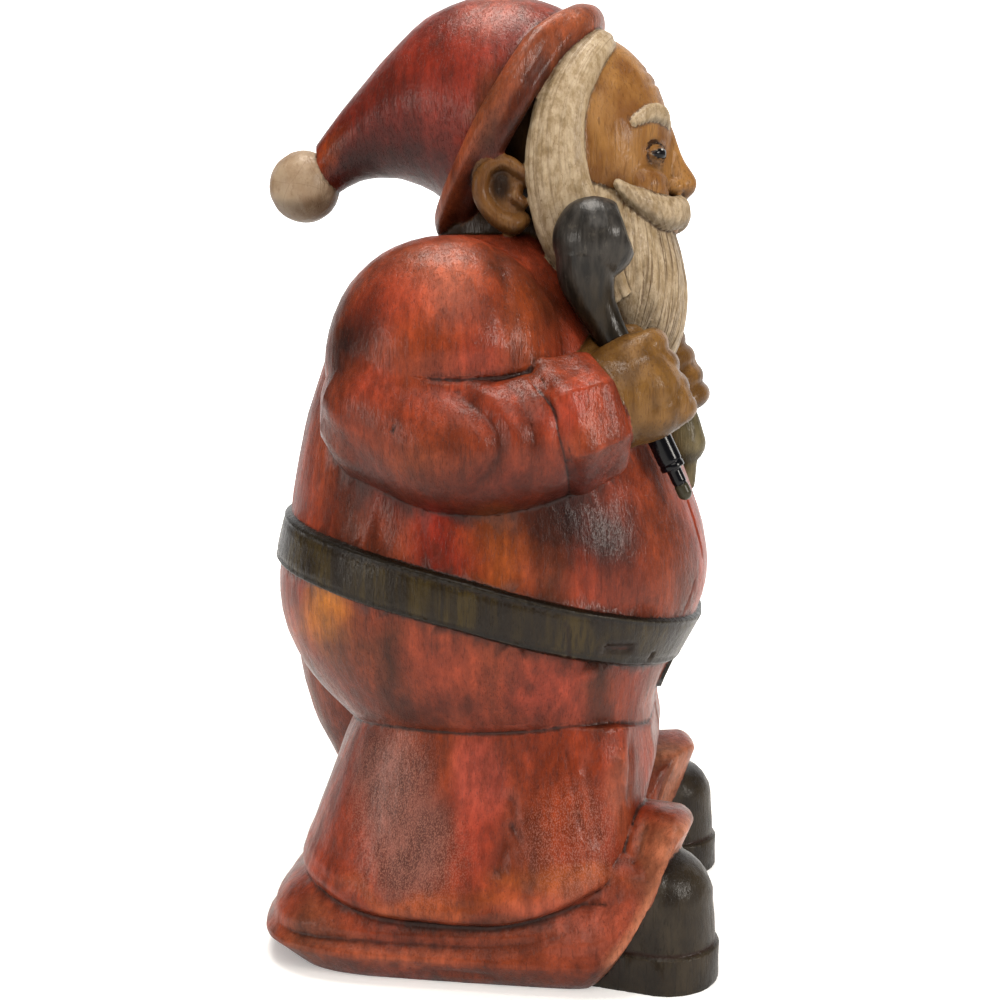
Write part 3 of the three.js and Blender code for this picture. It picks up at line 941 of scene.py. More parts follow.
def zones():
    """The closed forms of the figure by zone, a zone being what is painted or carved alike."""
    soles, uppers = zip(*[shoe(side) for side in BOTH])
    return {
        "body": [coat()],
        "skirt": [skirt()],
        "hem": [hem()],
        "arm": [form for side in BOTH for form in (shoulder(side), forearm(side))],
        "cuff": [cuff(side) for side in BOTH],
        "bag": [sack_bag()],
        "hat": [hat()],
        "brim": [brim()],
        "belt": [belt(), buckle()],
        "sole": list(soles),
        "shoe": list(uppers),
        "face": [skull(), neck(), lower_lip(), *nose(),
                 *[form for side in BOTH for form in (cheek(side), *eyelids(side))]],
        "ear": [form for side in BOTH for form in ear(side)],
        "hand": [form for side, middle in ((RIGHT, GRIP_MIDDLE), (LEFT, SACK_GRIP))
                 for form in (*fist_back(side, middle), *fingers(side, middle), thumb(side, middle))],
        "eye": [eyeball(side) for side in BOTH],
        "hair": [hair(side) for side in BOTH],
        "beard": [beard()],
        "whisker": [form for side in BOTH for form in (moustache(side), brow(side))],
        "pompom": [pompom()],
        "cloth": [sack_neck(), cord_end()],
    }


# Paint groups, each a union of zones, for the crisp borders of the colours
PAINTS = {
    "belt_paint": ("belt",),
    "shoe_paint": ("shoe", "sole"),
    "skin_paint": ("face", "ear", "hand", "eye", "hair", "beard", "whisker"),
    "hair_paint": ("hair", "beard", "whisker"),
    "pompom_paint": ("pompom",),
    "eye_paint": ("eye",),
    "cloth_paint": ("cloth",),
}


def zone_distances(points, forms_by_zone):
    return {zone: distance_field(points, forms, FIELD_REACH) for zone, forms in forms_by_zone.items()}


def border_field(distances, members):
    """Positive inside a group of zones and negative outside, in millimetres near its border."""
    inside = np.min([distances[zone] for zone in members], axis=0)
    outside = np.min([distance for zone, distance in distances.items() if zone not in members], axis=0)
    return outside - inside


def soft_mask(distances, members, width=0.6):
    return smoothstep(border_field(distances, members), -width, width)


# Carving

def dense_path(places, spacing=0.5):
    """Points close together on a smooth line through the places, with the share of each."""
    line = along(places)
    length = np.linalg.norm(np.diff(np.array(places, float), axis=0), axis=1).sum()
    shares = np.linspace(0, 1, max(int(length / spacing), 2))
    return line(shares), shares


class Wood:
    """The points of the carving, the zones they belong to, and a search among them."""

    def __init__(self, points, masks):
        self.points = points
        self.masks = masks
        self.tree = KDTree(len(points) // 3 + 1)
        for i, point in enumerate(points[::3].tolist()):
            self.tree.insert(point, i)
        self.tree.balance()

    def near(self, places, reach):
        """Indices of the points near a line laid on the surface, with distances and shares."""
        path, shares = dense_path(places)
        path = np.array([self.tree.find(place)[0] for place in path])
        for _ in range(14):
            path[1:-1] = (path[:-2] + path[1:-1] + path[2:]) / 3
        low, high = path.min(axis=0) - reach, path.max(axis=0) + reach
        near = np.nonzero(np.all((self.points > low) & (self.points < high), axis=1))[0]
        if not len(near):
            return near, np.zeros(0), np.zeros(0)
        gaps = ((self.points[near][:, None, :] - path[None]) ** 2).sum(axis=2)
        nearest = gaps.argmin(axis=1)
        return near, np.sqrt(gaps[np.arange(len(near)), nearest]), shares[nearest]

    def groove(self, places, depth, width, taper=0.18, rise=0.3):
        """How far a V-cut along a line moves each point: in at the line, slightly out beside it."""
        moved = np.zeros(len(self.points))
        near, distances, shares = self.near(places, width * 4)
        ends = np.minimum(shares, 1 - shares) / taper
        beside = rise * hump(distances, 2 * width, 1.1 * width)
        moved[near] = depth * smoothstep(ends, 0, 1) * (beside - hump(distances, 0, width))
        return moved


def on_both_sides(lines):
    """Each line with its numbers, and again mirrored onto the other side."""
    for places, *numbers in lines:
        yield places, *numbers
        yield [(-x, y, z) for x, y, z in places], *numbers


# Folds and cuts of the near sleeve, as points on its surface; the far sleeve mirrors them
SLEEVE_FOLDS = [
    # fold across the bend of the elbow, under the upper arm
    ([(-69, 14, 184), (-69.1, 4, 182.5), (-66.1, -8, 182.8), (-61.1, -18, 184), (-56, -26, 188)],
     1.0, 0.75),
    ([(-69, 16, 186), (-69.1, 4, 184.5), (-66.1, -8, 184.8), (-61.1, -18, 186)], 0.7, 3.2),
    # fold down from the shoulder
    ([(-42, -6, 222), (-49, -8.5, 217), (-56.4, -11.8, 209.2), (-61.5, -12.8, 199.3), (-64.2, -11.2, 190)],
     1.0, 1.8),
    # the round lobe of the forearm, and a second one before the cuff
    ([(-67, 4, 181), (-70.5, -3, 177.1), (-74, -11.3, 170.5), (-74, -13.3, 163.5),
      (-73, -10.1, 156.4), (-68, -2, 148)], 1.6, 2.4),
    ([(-62, -14, 183), (-69, -19, 177), (-72, -22.5, 168), (-71, -22, 158)], 0.9, 1.8),
    # the edge of the sleeve behind the cuff
    ([(-57, -21, 187), (-64, -20.6, 181.1), (-70, -27.6, 174.5), (-71, -29.8, 166.1), (-67, -31.1, 157.3),
      (-58, -31.2, 149.4), (-50, -30, 147)], 0.8, 0.65),
    # under the elbow
    ([(-50.6, 43.2, 178.8), (-56.4, 38.8, 170.9), (-65.2, 31.2, 163.5), (-65.2, 22, 155)], 0.8, 3.0),
    # from the collar over the front of the shoulder
    ([(-36, -20, 217), (-45, -23, 207), (-51, -24, 197)], 0.6, 2.2),
    # soft hollow down the back of the upper arm
    ([(-57, 30, 205), (-63, 28, 194), (-66, 22, 184)], 0.7, 4.5),
]

# Soft swellings of the sleeve and the shoulder: place, size, height
SWELLINGS = [
    ((-72, 6, 163), (12, 13, 12), 1.5),
    ((-72, -19, 167), (10, 6, 11), 0.8),
    ((-66, 5, 193), (12, 13, 9), 0.8),
    ((-58, 8, 212), (14, 12, 9), 0.7),
    ((-66, 26, 174), (12, 10, 9), 0.7),
]

# Shallow gouges of the skirt, and the two lines that run round the hem
SKIRT_GOUGES = [
    ([(-57, -12.5, 60), (-59.4, -15, 52.7), (-63.2, -11.9, 40), (-64.9, -10.4, 34.4)], 1.1, 2.4),
    ([(-60, -14, 52), (-62.3, -17.8, 43.1), (-66.6, -24.3, 28.2)], 0.9, 2.0),
    ([(-52, -36, 72), (-56.5, -38.5, 58), (-60.5, -42, 42)], 0.9, 2.2),
    ([(-51, -30, 74), (-55, -33, 60), (-59.5, -37, 44)], 0.6, 1.2),
    # in front of the skirt's upright corner
    ([(-45.5, -55.2, 76), (-47.6, -54.4, 62), (-51.5, -52.6, 44), (-54, -51, 33)], 0.8, 1.5),
]
HEM_LINES = [
    ([(-50, 60, 10), (-62.7, 47, 12.5), (-66.4, 30.4, 13.5), (-67, 5.7, 13.5), (-66.5, -21.5, 16),
      (-63, -44, 24)], 1.3, 1.7),
    ([(-62.8, 43.6, 19), (-64.8, 17.9, 18), (-65, -6.4, 18.5), (-63, -30.1, 23), (-60, -47.5, 31)],
     0.8, 2.4),
    ([(-67.3, -12, 3.5), (-67.6, -2, 3), (-67.2, 10, 4)], 0.5, 1.1),
]

# The slot and the hole of the strap, the edges of the coat down the front, and small cracks
BELT_SLOT = [(-56.3, -41.2, 103.9), (-52.8, -45.6, 103.1), (-49, -49.9, 102.4)]
BELT_HOLE = [(-41.6, -53.8, 98.3), (-40.7, -54.7, 98.1), (-39.8, -55.6, 97.9)]
BELT_LOOP = [(-61.5, -31, 113), (-61.5, -31.5, 106), (-60.5, -32, 99)]
COAT_EDGES = [
    ([(-17, -60.5, 152), (-18, -63.9, 144.6), (-19, -67.2, 133.8), (-17.6, -69.3, 124)], 0.7, 0.7),
    ([(-25.8, -66.9, 119.7), (-31, -65, 107.8)], 0.4, 0.5),
    ([(0, -57, 76), (0.5, -57, 62), (0, -56, 48), (0, -54, 34)], 1.3, 1.0),
]
ELBOW_HOLE = (-72, 16.7, 168.5)


def carve_coat(wood):
    points, masks = wood.points, wood.masks
    out = np.zeros(len(points))
    cloth = masks["cloth_parts"]
    out += cloth * (0.34 * noise(points, (15, 15, 26), 3) + 0.16 * noise(points, (7, 7, 13), 4))
    out += cloth * 0.05 * noise(points, (2.2, 2.2, 9), 5)
    for places, depth, width in on_both_sides(SLEEVE_FOLDS):
        out += wood.groove(places, depth, width, taper=0.3, rise=0.12 if width < 2 else 0.4)
    for (x, y, z), size, amount in SWELLINGS:
        for side in (x, -x):
            out += amount * np.exp(-(((points - vec(side, y, z)) / size) ** 2).sum(axis=1))
    for places, depth, width in on_both_sides(SKIRT_GOUGES + HEM_LINES):
        out += wood.groove(places, depth, width, rise=0.1)
    for places, depth, width in COAT_EDGES:
        out += wood.groove(places, depth, width, taper=0.08, rise=0.15)
    out -= 1.2 * hump(gap(points, ELBOW_HOLE), 0, 1.1)
    out += masks["waist_above"] * 0.3 - masks["waist"] * 0.4
    return out


def carve_skirt(wood):
    """The rolled lip along the skirt's lower edge."""
    points, masks = wood.points, wood.masks
    height = points[:, 2] - skirt_ring(bearing(points), 0.0)[:, 2]
    lip = 0.5 * hump(height, 2.6, 2.4) - 0.35 * hump(height, 7.2, 1.8)
    return masks["skirt"] * (lip - 0.4 * hump(height, 0.2, 1.2))


def brim_forward(points):
    """How far points lie in front of the middle of the brim's band."""
    rise = (BRIM_FRONT - BRIM_NAPE) / 2
    return (points - (BRIM_FRONT + BRIM_NAPE) / 2) @ unit(vec(0, -rise[2], rise[1]))


def carve_brim(wood):
    """A ridge along the brim's rear half and a hollow before it."""
    forward = brim_forward(wood.points)
    relief = 0.7 * hump(forward, -5.0, 1.6) - 0.8 * hump(forward, -0.6, 2.0)
    return wood.masks["brim"] * relief * (1 - 0.7 * smoothstep(wood.points[:, 2], 276, 288))


def above_rim(points):
    """How high points lie above the rim of the hem."""
    a = bearing(points)
    return points[:, 2] - hem_ring(a, HEM_RIM * (1 - hem_lift(a)))[:, 2]


def carve_hem(wood):
    """A worn, slightly rolled edge round the hem's foot and over the shoes."""
    height = above_rim(wood.points)
    bead = 0.35 * hump(height, 1.2, 1.0) - 0.45 * hump(height, 4.2, 1.3)
    return wood.masks["hem"] * bead * smoothstep(wood.points[:, 2], 0.5, 4)


WINDOW_HALF_WIDTH = 9.2
WINDOW_HALF_HEIGHT = 9.4
WINDOW_MIDDLE = 93
WINDOW_DEPTH = 1.5
PIN_HALF_WIDTH = 1.7


def carve_belt(wood):
    """Raised rims, a slot and a hole in the strap, and the frame of the buckle."""
    points, masks = wood.points, wood.masks
    across = points[:, 2] - belt_middle(bearing(points))
    rim = -0.4 * hump(np.abs(across), BELT_WIDTH / 2 - 1.9, 0.65)
    near_buckle = (np.abs(points[:, 0]) < BUCKLE_WIDTH / 2 + 0.5) & (points[:, 1] < 0)
    strap = masks["belt"] * np.where(near_buckle, 0, rim + 0.12 * noise(points, (9, 9, 5), 9))
    window = smoothstep(WINDOW_HALF_WIDTH - np.abs(points[:, 0]), -0.6, 0.6)
    window *= smoothstep(WINDOW_HALF_HEIGHT - np.abs(points[:, 2] - WINDOW_MIDDLE), -0.6, 0.6)
    pin = smoothstep(PIN_HALF_WIDTH - np.abs(points[:, 0]), -0.5, 0.5)
    plate = masks["belt"] * np.where(near_buckle, -WINDOW_DEPTH * window * (1 - pin), 0)
    cuts = wood.groove(BELT_SLOT, 1.2, 1.5, taper=0.1, rise=0.1)
    cuts += wood.groove(BELT_HOLE, 1.2, 1.3, taper=0.4, rise=0.1)
    cuts += wood.groove(BELT_LOOP, 0.5, 0.7, taper=0.1, rise=0.3)
    return strap + plate + cuts


def strand_height(u, v, pitch, run, seed):
    """Cuts between strands: 0 on a strand and -1 at the bottom of a cut."""
    sway = 1.2 * np.sin(v / 9 + 1.3 * np.sin(u / 6))
    flat = np.stack([(u + sway) / pitch, v / run, np.zeros(len(u))], axis=-1)
    return -hump(noise(flat, 1.0, seed), 0, 0.16)


BEARD_AXIS = -36  # Y of the upright line that the strands stand round
BEARD_RADIUS = 27


def beard_coordinates(points):
    """Distance round the beard from its middle line, the height, and the angle from the front."""
    a = np.arctan2(points[:, 0], BEARD_AXIS - points[:, 1])
    return a * BEARD_RADIUS, points[:, 2], a


def carve_beard(wood):
    points, masks = wood.points, wood.masks
    u, v, a = beard_coordinates(points)
    front = smoothstep(np.cos(a), 0.05, 0.5)
    long_cuts = 0.42 * strand_height(u, v, 2.1, 46, 21) + 0.2 * strand_height(u, v, 1.2, 30, 22)
    side_cuts = 0.25 * strand_height(u, v, 4.6, 40, 23)
    return masks["beard"] * lerp(side_cuts, long_cuts, front)


HAIR_SAMPLES = 60
HAIR_LENGTH = 80
BATCH = 50000  # points compared at a time


def hair_coordinates(points):
    """For the hair beside the face: place across it from -1 to 1, and length along it."""
    across = np.zeros(len(points))
    run = np.zeros(len(points))
    for side in BOTH:
        mine = np.nonzero(points[:, 0] * side >= 0)[0]
        samples = [hair_frame(side, share) for share in np.linspace(0, 1, HAIR_SAMPLES)]
        places = np.array([sample[0] for sample in samples])
        nearest = np.empty(len(mine), int)
        for start in range(0, len(mine), BATCH):
            part = points[mine[start:start + BATCH]]
            nearest[start:start + BATCH] = ((part[:, None] - places[None]) ** 2).sum(axis=2).argmin(axis=1)
        crosswise = np.array([sample[2] / sample[3] for sample in samples])[nearest]
        across[mine] = ((points[mine] - places[nearest]) * crosswise).sum(axis=1) * side
        run[mine] = nearest / (HAIR_SAMPLES - 1) * HAIR_LENGTH
    return across, run


def carve_hair(wood):
    """Few long cuts down the hair beside the face, and scalloped tool marks."""
    points, masks = wood.points, wood.masks
    near = np.nonzero(masks["hair"] > 0.01)[0]
    across, run = hair_coordinates(points[near])
    cuts = np.zeros(len(near))
    for place, depth, seed in ((-0.66, 0.3, 31), (-0.2, 0.2, 32), (0.25, 0.22, 33), (0.72, 0.42, 34)):
        flat = np.stack([run / 16, np.full(len(near), seed * 3.3), np.zeros(len(near))], axis=-1)
        sway = 0.1 * noise(flat, 1.0, seed)
        strength = smoothstep(noise(flat + 40, 1.0, seed), -0.35, 0.25)
        cuts -= depth * strength * hump(across - place, sway, 0.1)
    marks = 0.2 * noise(points[near], (3.2, 3.2, 6), 35)
    out = np.zeros(len(points))
    out[near] = cuts + marks + 0.07 * noise(points[near], (1.6, 1.6, 3), 36)
    return masks["hair"] * out


def carve_whiskers(wood):
    """Short slanting cuts across the moustache and the brows."""
    points, masks = wood.points, wood.masks
    slant = points[:, 2] + 0.55 * np.abs(points[:, 0])
    stroke = np.abs(points[:, 0]) - 0.45 * points[:, 2] + 0.35 * noise(points, 3.0, 41)
    cut = hump(stroke / 1.5 % 1, 0.5, 0.2)
    return -masks["whisker"] * (0.26 * cut + 0.1 * noise(np.stack([slant] * 3, axis=-1), 1.5, 42))


# Two calm lines of the forehead
FACE_LINES = [
    ([(-15, -52, 272.5), (-6, -56, 274.5), (6, -56, 274.5), (15, -52, 272.5)], 0.45, 0.8),
    ([(-13, -50, 277.5), (-5, -53.5, 279), (5, -53.5, 279), (13, -50, 277.5)], 0.35, 0.8),
]


def nostril(side):
    return (2.8 * side, -60.6, NOSE_FOOT + 0.6)


def carve_face(wood):
    points, masks = wood.points, wood.masks
    out = masks["skin"] * (0.14 * noise(points, (6, 6, 8), 51) + 0.05 * noise(points, (2, 2, 5), 52))
    for places, depth, width in FACE_LINES:
        out += masks["skin"] * wood.groove(places, depth, width, taper=0.3)
    for side in BOTH:
        socket = gap(points, (13 * side, -54, EYES + 0.5), (9, 8, 6.5))
        out -= 2.0 * masks["face"] * np.exp(-socket ** 2 * 1.4)
    for side in BOTH:
        fold = [(6.5 * side, -59, 243), (11 * side, -57, 240.5), (17 * side, -52.5, 240.5)]
        out += masks["skin"] * wood.groove(fold, 0.8, 1.2, taper=0.3)
        out -= 1.1 * hump(gap(points, nostril(side), (1.2, 1.6, 1)), 0, 1)
    return out


def carve_small(wood):
    """The sole's seam, creases of the shoes, and cracks of the pom-pom."""
    points, masks = wood.points, wood.masks
    seam = hump(points[:, 2], SOLE_THICKNESS, 0.7)
    shoes = masks["shoe_parts"] * (-0.5 * seam + 0.2 * noise(points, (7, 7, 6), 61))
    for side in BOTH:
        crease = [(30 * side, -52, 33), (42 * side, -50, 36.5), (54 * side, -52, 33)]
        shoes += wood.groove(crease, 0.5, 1.0)
    ball = masks["pompom"] * (0.28 * noise(points, 5.5, 62) + 0.1 * noise(points, 2.2, 63))
    ball -= masks["pompom"] * 0.14 * hump(noise(points, (9, 9, 7), 64), 0, 0.03)
    return shoes + ball


CLOTH_AXIS = (35.5, 190)  # X and Z of the line that the folds lie round
CLOTH_FOLDS = 7


def carve_cloth(wood):
    """Gathered folds of the sack's neck, running lengthwise."""
    points, masks = wood.points, wood.masks
    turn = np.arctan2(points[:, 2] - CLOTH_AXIS[1], points[:, 0] - CLOTH_AXIS[0])
    folds = np.sin(CLOTH_FOLDS * turn + 0.1 * points[:, 1] + noise(points, 12.0, 71))
    return masks["cloth"] * 0.45 * folds


CARVINGS = (carve_coat, carve_skirt, carve_hem, carve_brim, carve_belt, carve_beard, carve_hair,
            carve_whiskers, carve_face, carve_small, carve_cloth)
STAINED = ("body", "skirt", "hem", "arm", "cuff", "bag", "hat", "brim")


def masks_of(distances):
    masks = {zone: soft_mask(distances, (zone,)) for zone in distances}
    masks["cloth_parts"] = soft_mask(distances, STAINED)
    masks["skin"] = soft_mask(distances, ("face", "ear", "hand"))
    masks["shoe_parts"] = soft_mask(distances, ("shoe", "sole"))
    waist = distances["body"] + distances["skirt"]
    masks["waist"] = hump(waist, 0, 0.45)
    masks["waist_above"] = masks["body"] * hump(waist, 2.2, 1.2)
    return masks


def seam_field(distances):
    """How near each point is to where two zones meet: 1 on the seam and 0 from a millimetre off."""
    second = np.partition(np.stack(list(distances.values())), 1, axis=0)[1]
    return 1 - smoothstep(second, 0.1, 0.8)


# Stains and painted light: broad soft colours of the coat and hat, some of them painted highlights and
# painted shade, each at a place, with a size and a strength

RED_BROWN = srgb(150, 66, 36)
BRICK = srgb(166, 66, 40)
ORANGE = srgb(188, 84, 28)
AMBER = srgb(214, 128, 44)
DEEP_RED = srgb(104, 28, 18)
MAROON = srgb(34, 10, 10)
NEAR_BLACK = srgb(20, 10, 10)
PURPLE_GREY = srgb(132, 84, 74)
ROSE = srgb(188, 72, 50)
PALE_ROSE = srgb(198, 106, 72)
UMBER = srgb(74, 36, 18)
OLIVE_SHADE = srgb(96, 64, 36)

STAINS_AND_PAINTED_LIGHT = [
    # upper body, near side
    # painted highlight on the shoulder's top
    ((-61, 5, 213), (16, 14, 14), PALE_ROSE, 0.55),
    ((-64, 17, 205), (14, 12, 14), ROSE, 0.6),
    ((-68, 9, 194), (14, 11, 12), srgb(150, 62, 28), 0.85),
    ((-66, -8, 190), (12, 6, 7), ROSE, 0.6),
    ((-57, -19, 203), (12, 7, 17), srgb(156, 68, 26), 0.85),
    # painted shade on the front of the shoulder
    ((-46, -25, 203), (12, 9, 15), UMBER, 0.85),
    ((-60, 27, 196), (12, 9, 13), DEEP_RED, 0.6),
    ((-60, 33, 191), (12, 8, 10), NEAR_BLACK, 0.92),
    ((-50, 38, 200), (12, 9, 18), UMBER, 0.75),
    ((-50, -12, 214), (9, 7, 9), UMBER, 0.6),
    ((-40, 12, 226), (14, 12, 6), UMBER, 0.6),
    # near sleeve and cuff
    ((-72, 8, 172), (12, 16, 9), BRICK, 0.6),
    ((-73, 6, 160), (12, 22, 10), RED_BROWN, 0.6),
    ((-72, 12, 158), (10, 7, 5), srgb(150, 70, 28), 0.5),
    ((-70, -16, 158), (10, 10, 12), srgb(104, 46, 26), 0.6),
    ((-66, 24, 176), (12, 8, 8), ROSE, 0.6),
    ((-71, -33, 175), (10, 8, 8), srgb(168, 62, 40), 0.8),
    ((-70, -38, 168), (10, 4, 10), srgb(170, 72, 36), 0.6),
    # painted shade on the cuff's lower facets
    ((-66, -36, 155), (10, 12, 8.5), srgb(112, 38, 24), 0.85),
    # painted shade along the underside of the forearm
    ((-66, -10, 150), (14, 30, 5), DEEP_RED, 0.6),
    # belly
    # painted shade on the belly under the cuff
    ((-56, -30, 142), (16, 13, 12), MAROON, 0.97),
    ((-52, -42, 136), (15, 12, 12), MAROON, 0.9),
    ((-60, -26, 124), (12, 6, 18), UMBER, 0.85),
    # painted shade under the forearm
    ((-62, 0, 146), (12, 30, 4.5), srgb(48, 22, 12), 0.85),
    ((-56, 20, 150), (14, 26, 7), DEEP_RED, 0.7),
    ((-33, -63, 127), (12, 8, 16), srgb(128, 58, 34), 0.8),
    ((-63, -10, 134), (12, 9, 18), srgb(156, 76, 30), 0.9),
    ((-64, 6, 137), (12, 11, 13), srgb(158, 40, 28), 0.8),
    ((-56, 36, 138), (12, 12, 20), UMBER, 0.65),
    ((-60, 24, 128), (12, 7, 12), RED_BROWN, 0.6),
    # between belt and skirt
    ((-54, 40, 112), (12, 13, 10), srgb(226, 134, 40), 1.0),
    ((-56, 36, 100), (12, 12, 10), OLIVE_SHADE, 0.5),
    ((-60, 22, 100), (12, 5, 20), UMBER, 0.95),
    ((-62, 4, 98), (12, 14, 14), BRICK, 0.6),
    ((-57, -23, 92), (12, 10, 14), ROSE, 0.5),
    ((-54, -38, 94), (12, 4.5, 18), UMBER, 0.95),
    ((-62, 10, 84), (14, 44, 4), DEEP_RED, 0.4),
    # skirt, near side
    # grey-purple stain with a painted sheen on the skirt's rear
    ((-54, 26, 60), (16, 14, 20), PURPLE_GREY, 0.95),
    ((-62, 16, 42), (16, 15, 18), PURPLE_GREY, 0.95),
    ((-58, -4, 60), (14, 8, 20), srgb(190, 84, 66), 0.9),
    ((-63, -6, 40), (14, 8, 13), ROSE, 0.7),
    ((-57, -32, 56), (14, 13, 18), srgb(158, 60, 22), 0.85),
    ((-62, -30, 33), (14, 20, 5), srgb(182, 92, 40), 0.8),
    ((-66, 6, 26), (14, 40, 4), srgb(176, 84, 40), 0.7),
    ((-50, 44, 62), (14, 9, 22), DEEP_RED, 0.55),
    ((-50, -50, 58), (6, 6, 22), srgb(176, 92, 60), 0.6),
    # hem, near side
    ((-66, 20, 10), (14, 30, 7), RED_BROWN, 0.5),
    ((-62, -36, 22), (14, 22, 12), srgb(190, 92, 66), 0.75),
    ((-46, -60, 40), (10, 9, 14), srgb(184, 96, 62), 0.9),
    ((-58, 50, 12), (14, 12, 12), srgb(164, 94, 62), 0.6),
    ((-62, 0, 18), (14, 50, 3), UMBER, 0.6),
    ((-64, 20, 8), (14, 26, 4), srgb(190, 96, 62), 0.7),
    # hat
    ((-27, 2, 279), (14, 11, 12), srgb(164, 60, 44), 0.7),
    # painted highlight on the hat's top
    ((-10, -6, 292), (20, 14, 8), srgb(200, 106, 84), 0.6),
    ((-26, 12, 263), (12, 8, 12), srgb(156, 54, 40), 0.5),
    ((-18, 28, 256), (16, 13, 12), DEEP_RED, 0.75),
    ((-14, 20, 247), (24, 16, 6), DEEP_RED, 0.7),
    ((-8, 42, 246), (14, 12, 6), srgb(70, 26, 22), 0.8),
    ((-31, -4, 268), (5, 3.5, 16), OLIVE_SHADE, 0.5),
    ((-10, 46, 262), (14, 10, 6), DEEP_RED, 0.5),
    ((-9, 51, 254), (8, 4, 8), ORANGE, 0.5),
    # brim
    ((-26, -25, 277), (9, 5, 11), srgb(176, 92, 56), 0.5),
    ((-32, 0, 240), (9, 9, 12), srgb(112, 40, 28), 0.5),
    ((0, -32, 293), (22, 10, 6), srgb(176, 100, 66), 0.7),
    # front, far side and back
    ((0, -70, 140), (14, 12, 24), ROSE, 0.5),
    ((30, -62, 125), (16, 12, 16), DEEP_RED, 0.55),
    ((20, -60, 92), (12, 12, 12), ORANGE, 0.5),
    ((-12, -58, 55), (14, 8, 20), BRICK, 0.5),
    ((26, -56, 50), (14, 8, 20), UMBER, 0.45),
    ((64, 0, 130), (14, 16, 26), RED_BROWN, 0.5),
    ((60, -30, 135), (14, 12, 16), MAROON, 0.6),
    ((66, -5, 196), (14, 16, 16), ORANGE, 0.6),
    ((70, -8, 165), (14, 18, 12), BRICK, 0.6),
    ((62, -16, 52), (14, 16, 20), ROSE, 0.6),
    ((66, 10, 20), (14, 22, 10), ORANGE, 0.4),
    ((40, 74, 60), (22, 12, 20), OLIVE_SHADE, 0.5),
    ((44, 74, 90), (20, 12, 16), AMBER, 0.35),
    ((36, 66, 120), (18, 12, 22), RED_BROWN, 0.6),
    ((-10, 64, 130), (20, 12, 22), BRICK, 0.6),
    ((-30, 60, 100), (18, 14, 12), ORANGE, 0.45),
    ((0, 60, 165), (24, 14, 18), DEEP_RED, 0.5),
    ((-14, 52, 196), (18, 14, 14), ROSE, 0.55),
    ((-20, 54, 55), (20, 12, 20), PURPLE_GREY, 0.6),
    ((10, 54, 40), (18, 12, 20), BRICK, 0.5),
]


def fold_shade(wood):
    """Painted shade along the folds and gouges, deepest in the narrow ones."""
    wash = np.zeros(len(wood.points))
    for lines, strength in ((SLEEVE_FOLDS, 0.62), (SKIRT_GOUGES, 0.45), (HEM_LINES[:2], 0.55)):
        for places, *_ in on_both_sides(lines):
            near, distances, shares = wood.near(places, 6)
            ends = smoothstep(np.minimum(shares, 1 - shares), 0, 0.25)
            patchy = 0.65 + 0.35 * noise(wood.points[near], (2.5, 2.5, 4), 87)
            wash[near] = np.maximum(wash[near], strength * ends * patchy * hump(distances, 0, 1.7))
    return wash


def rim_wear(wood):
    """Pale, bare wood along the hem's edge where it rises over the shoes."""
    points = wood.points
    patchy = 0.8 + 0.2 * noise(points, (3, 3, 3), 88)
    risen = smoothstep(hem_lift(bearing(points)), 0.01, 0.12)
    return 0.75 * patchy * wood.masks["hem"] * risen * (1 - smoothstep(above_rim(points), 1.6, 3.6))


def stained_and_shaded_paint(wood):
    """The broad colour of each point of the cloth parts, with painted highlights and painted shade."""
    points, masks = wood.points, wood.masks
    warp = np.stack([noise(points, (11, 11, 20), seed) for seed in (81, 82, 83)], axis=-1)
    warped = points + warp * vec(4, 4, 7)
    mottle = 0.5 + 0.5 * noise(warped, (20, 20, 42), 84)
    streak = 0.5 + 0.5 * noise(points, (5.5, 5.5, 60), 85)
    colour = lerp(RED_BROWN, BRICK, smoothstep(mottle, 0.2, 0.8)[:, None])
    colour = lerp(colour, srgb(96, 38, 20), (0.6 * smoothstep(streak, 0.45, 0.85))[:, None])
    hat_base = lerp(srgb(146, 48, 32), srgb(98, 30, 18), mottle[:, None])
    colour = lerp(colour, hat_base, masks["hat"][:, None])
    # painted shade: the brim's front half is darker, less so near its top
    ahead = smoothstep(brim_forward(points) + 1.2 * noise(points, 4.0, 86), -4.5, 0.5)
    ahead = ahead * (1 - 0.85 * smoothstep(points[:, 2], 272, 288))
    brim_shaded = lerp(srgb(164, 82, 48), srgb(84, 36, 20), ahead[:, None])
    colour = lerp(colour, brim_shaded, masks["brim"][:, None])
    for place, size, stain, strength in STAINS_AND_PAINTED_LIGHT:
        amount = strength * (1 - smoothstep(gap(warped, place, size), 0.35, 1.35))
        colour = lerp(colour, stain, amount[:, None])
    # painted shade along the folds and gouges
    colour = lerp(colour, srgb(72, 30, 18), fold_shade(wood)[:, None])
    return lerp(colour, srgb(214, 140, 104), rim_wear(wood)[:, None])


# The figure

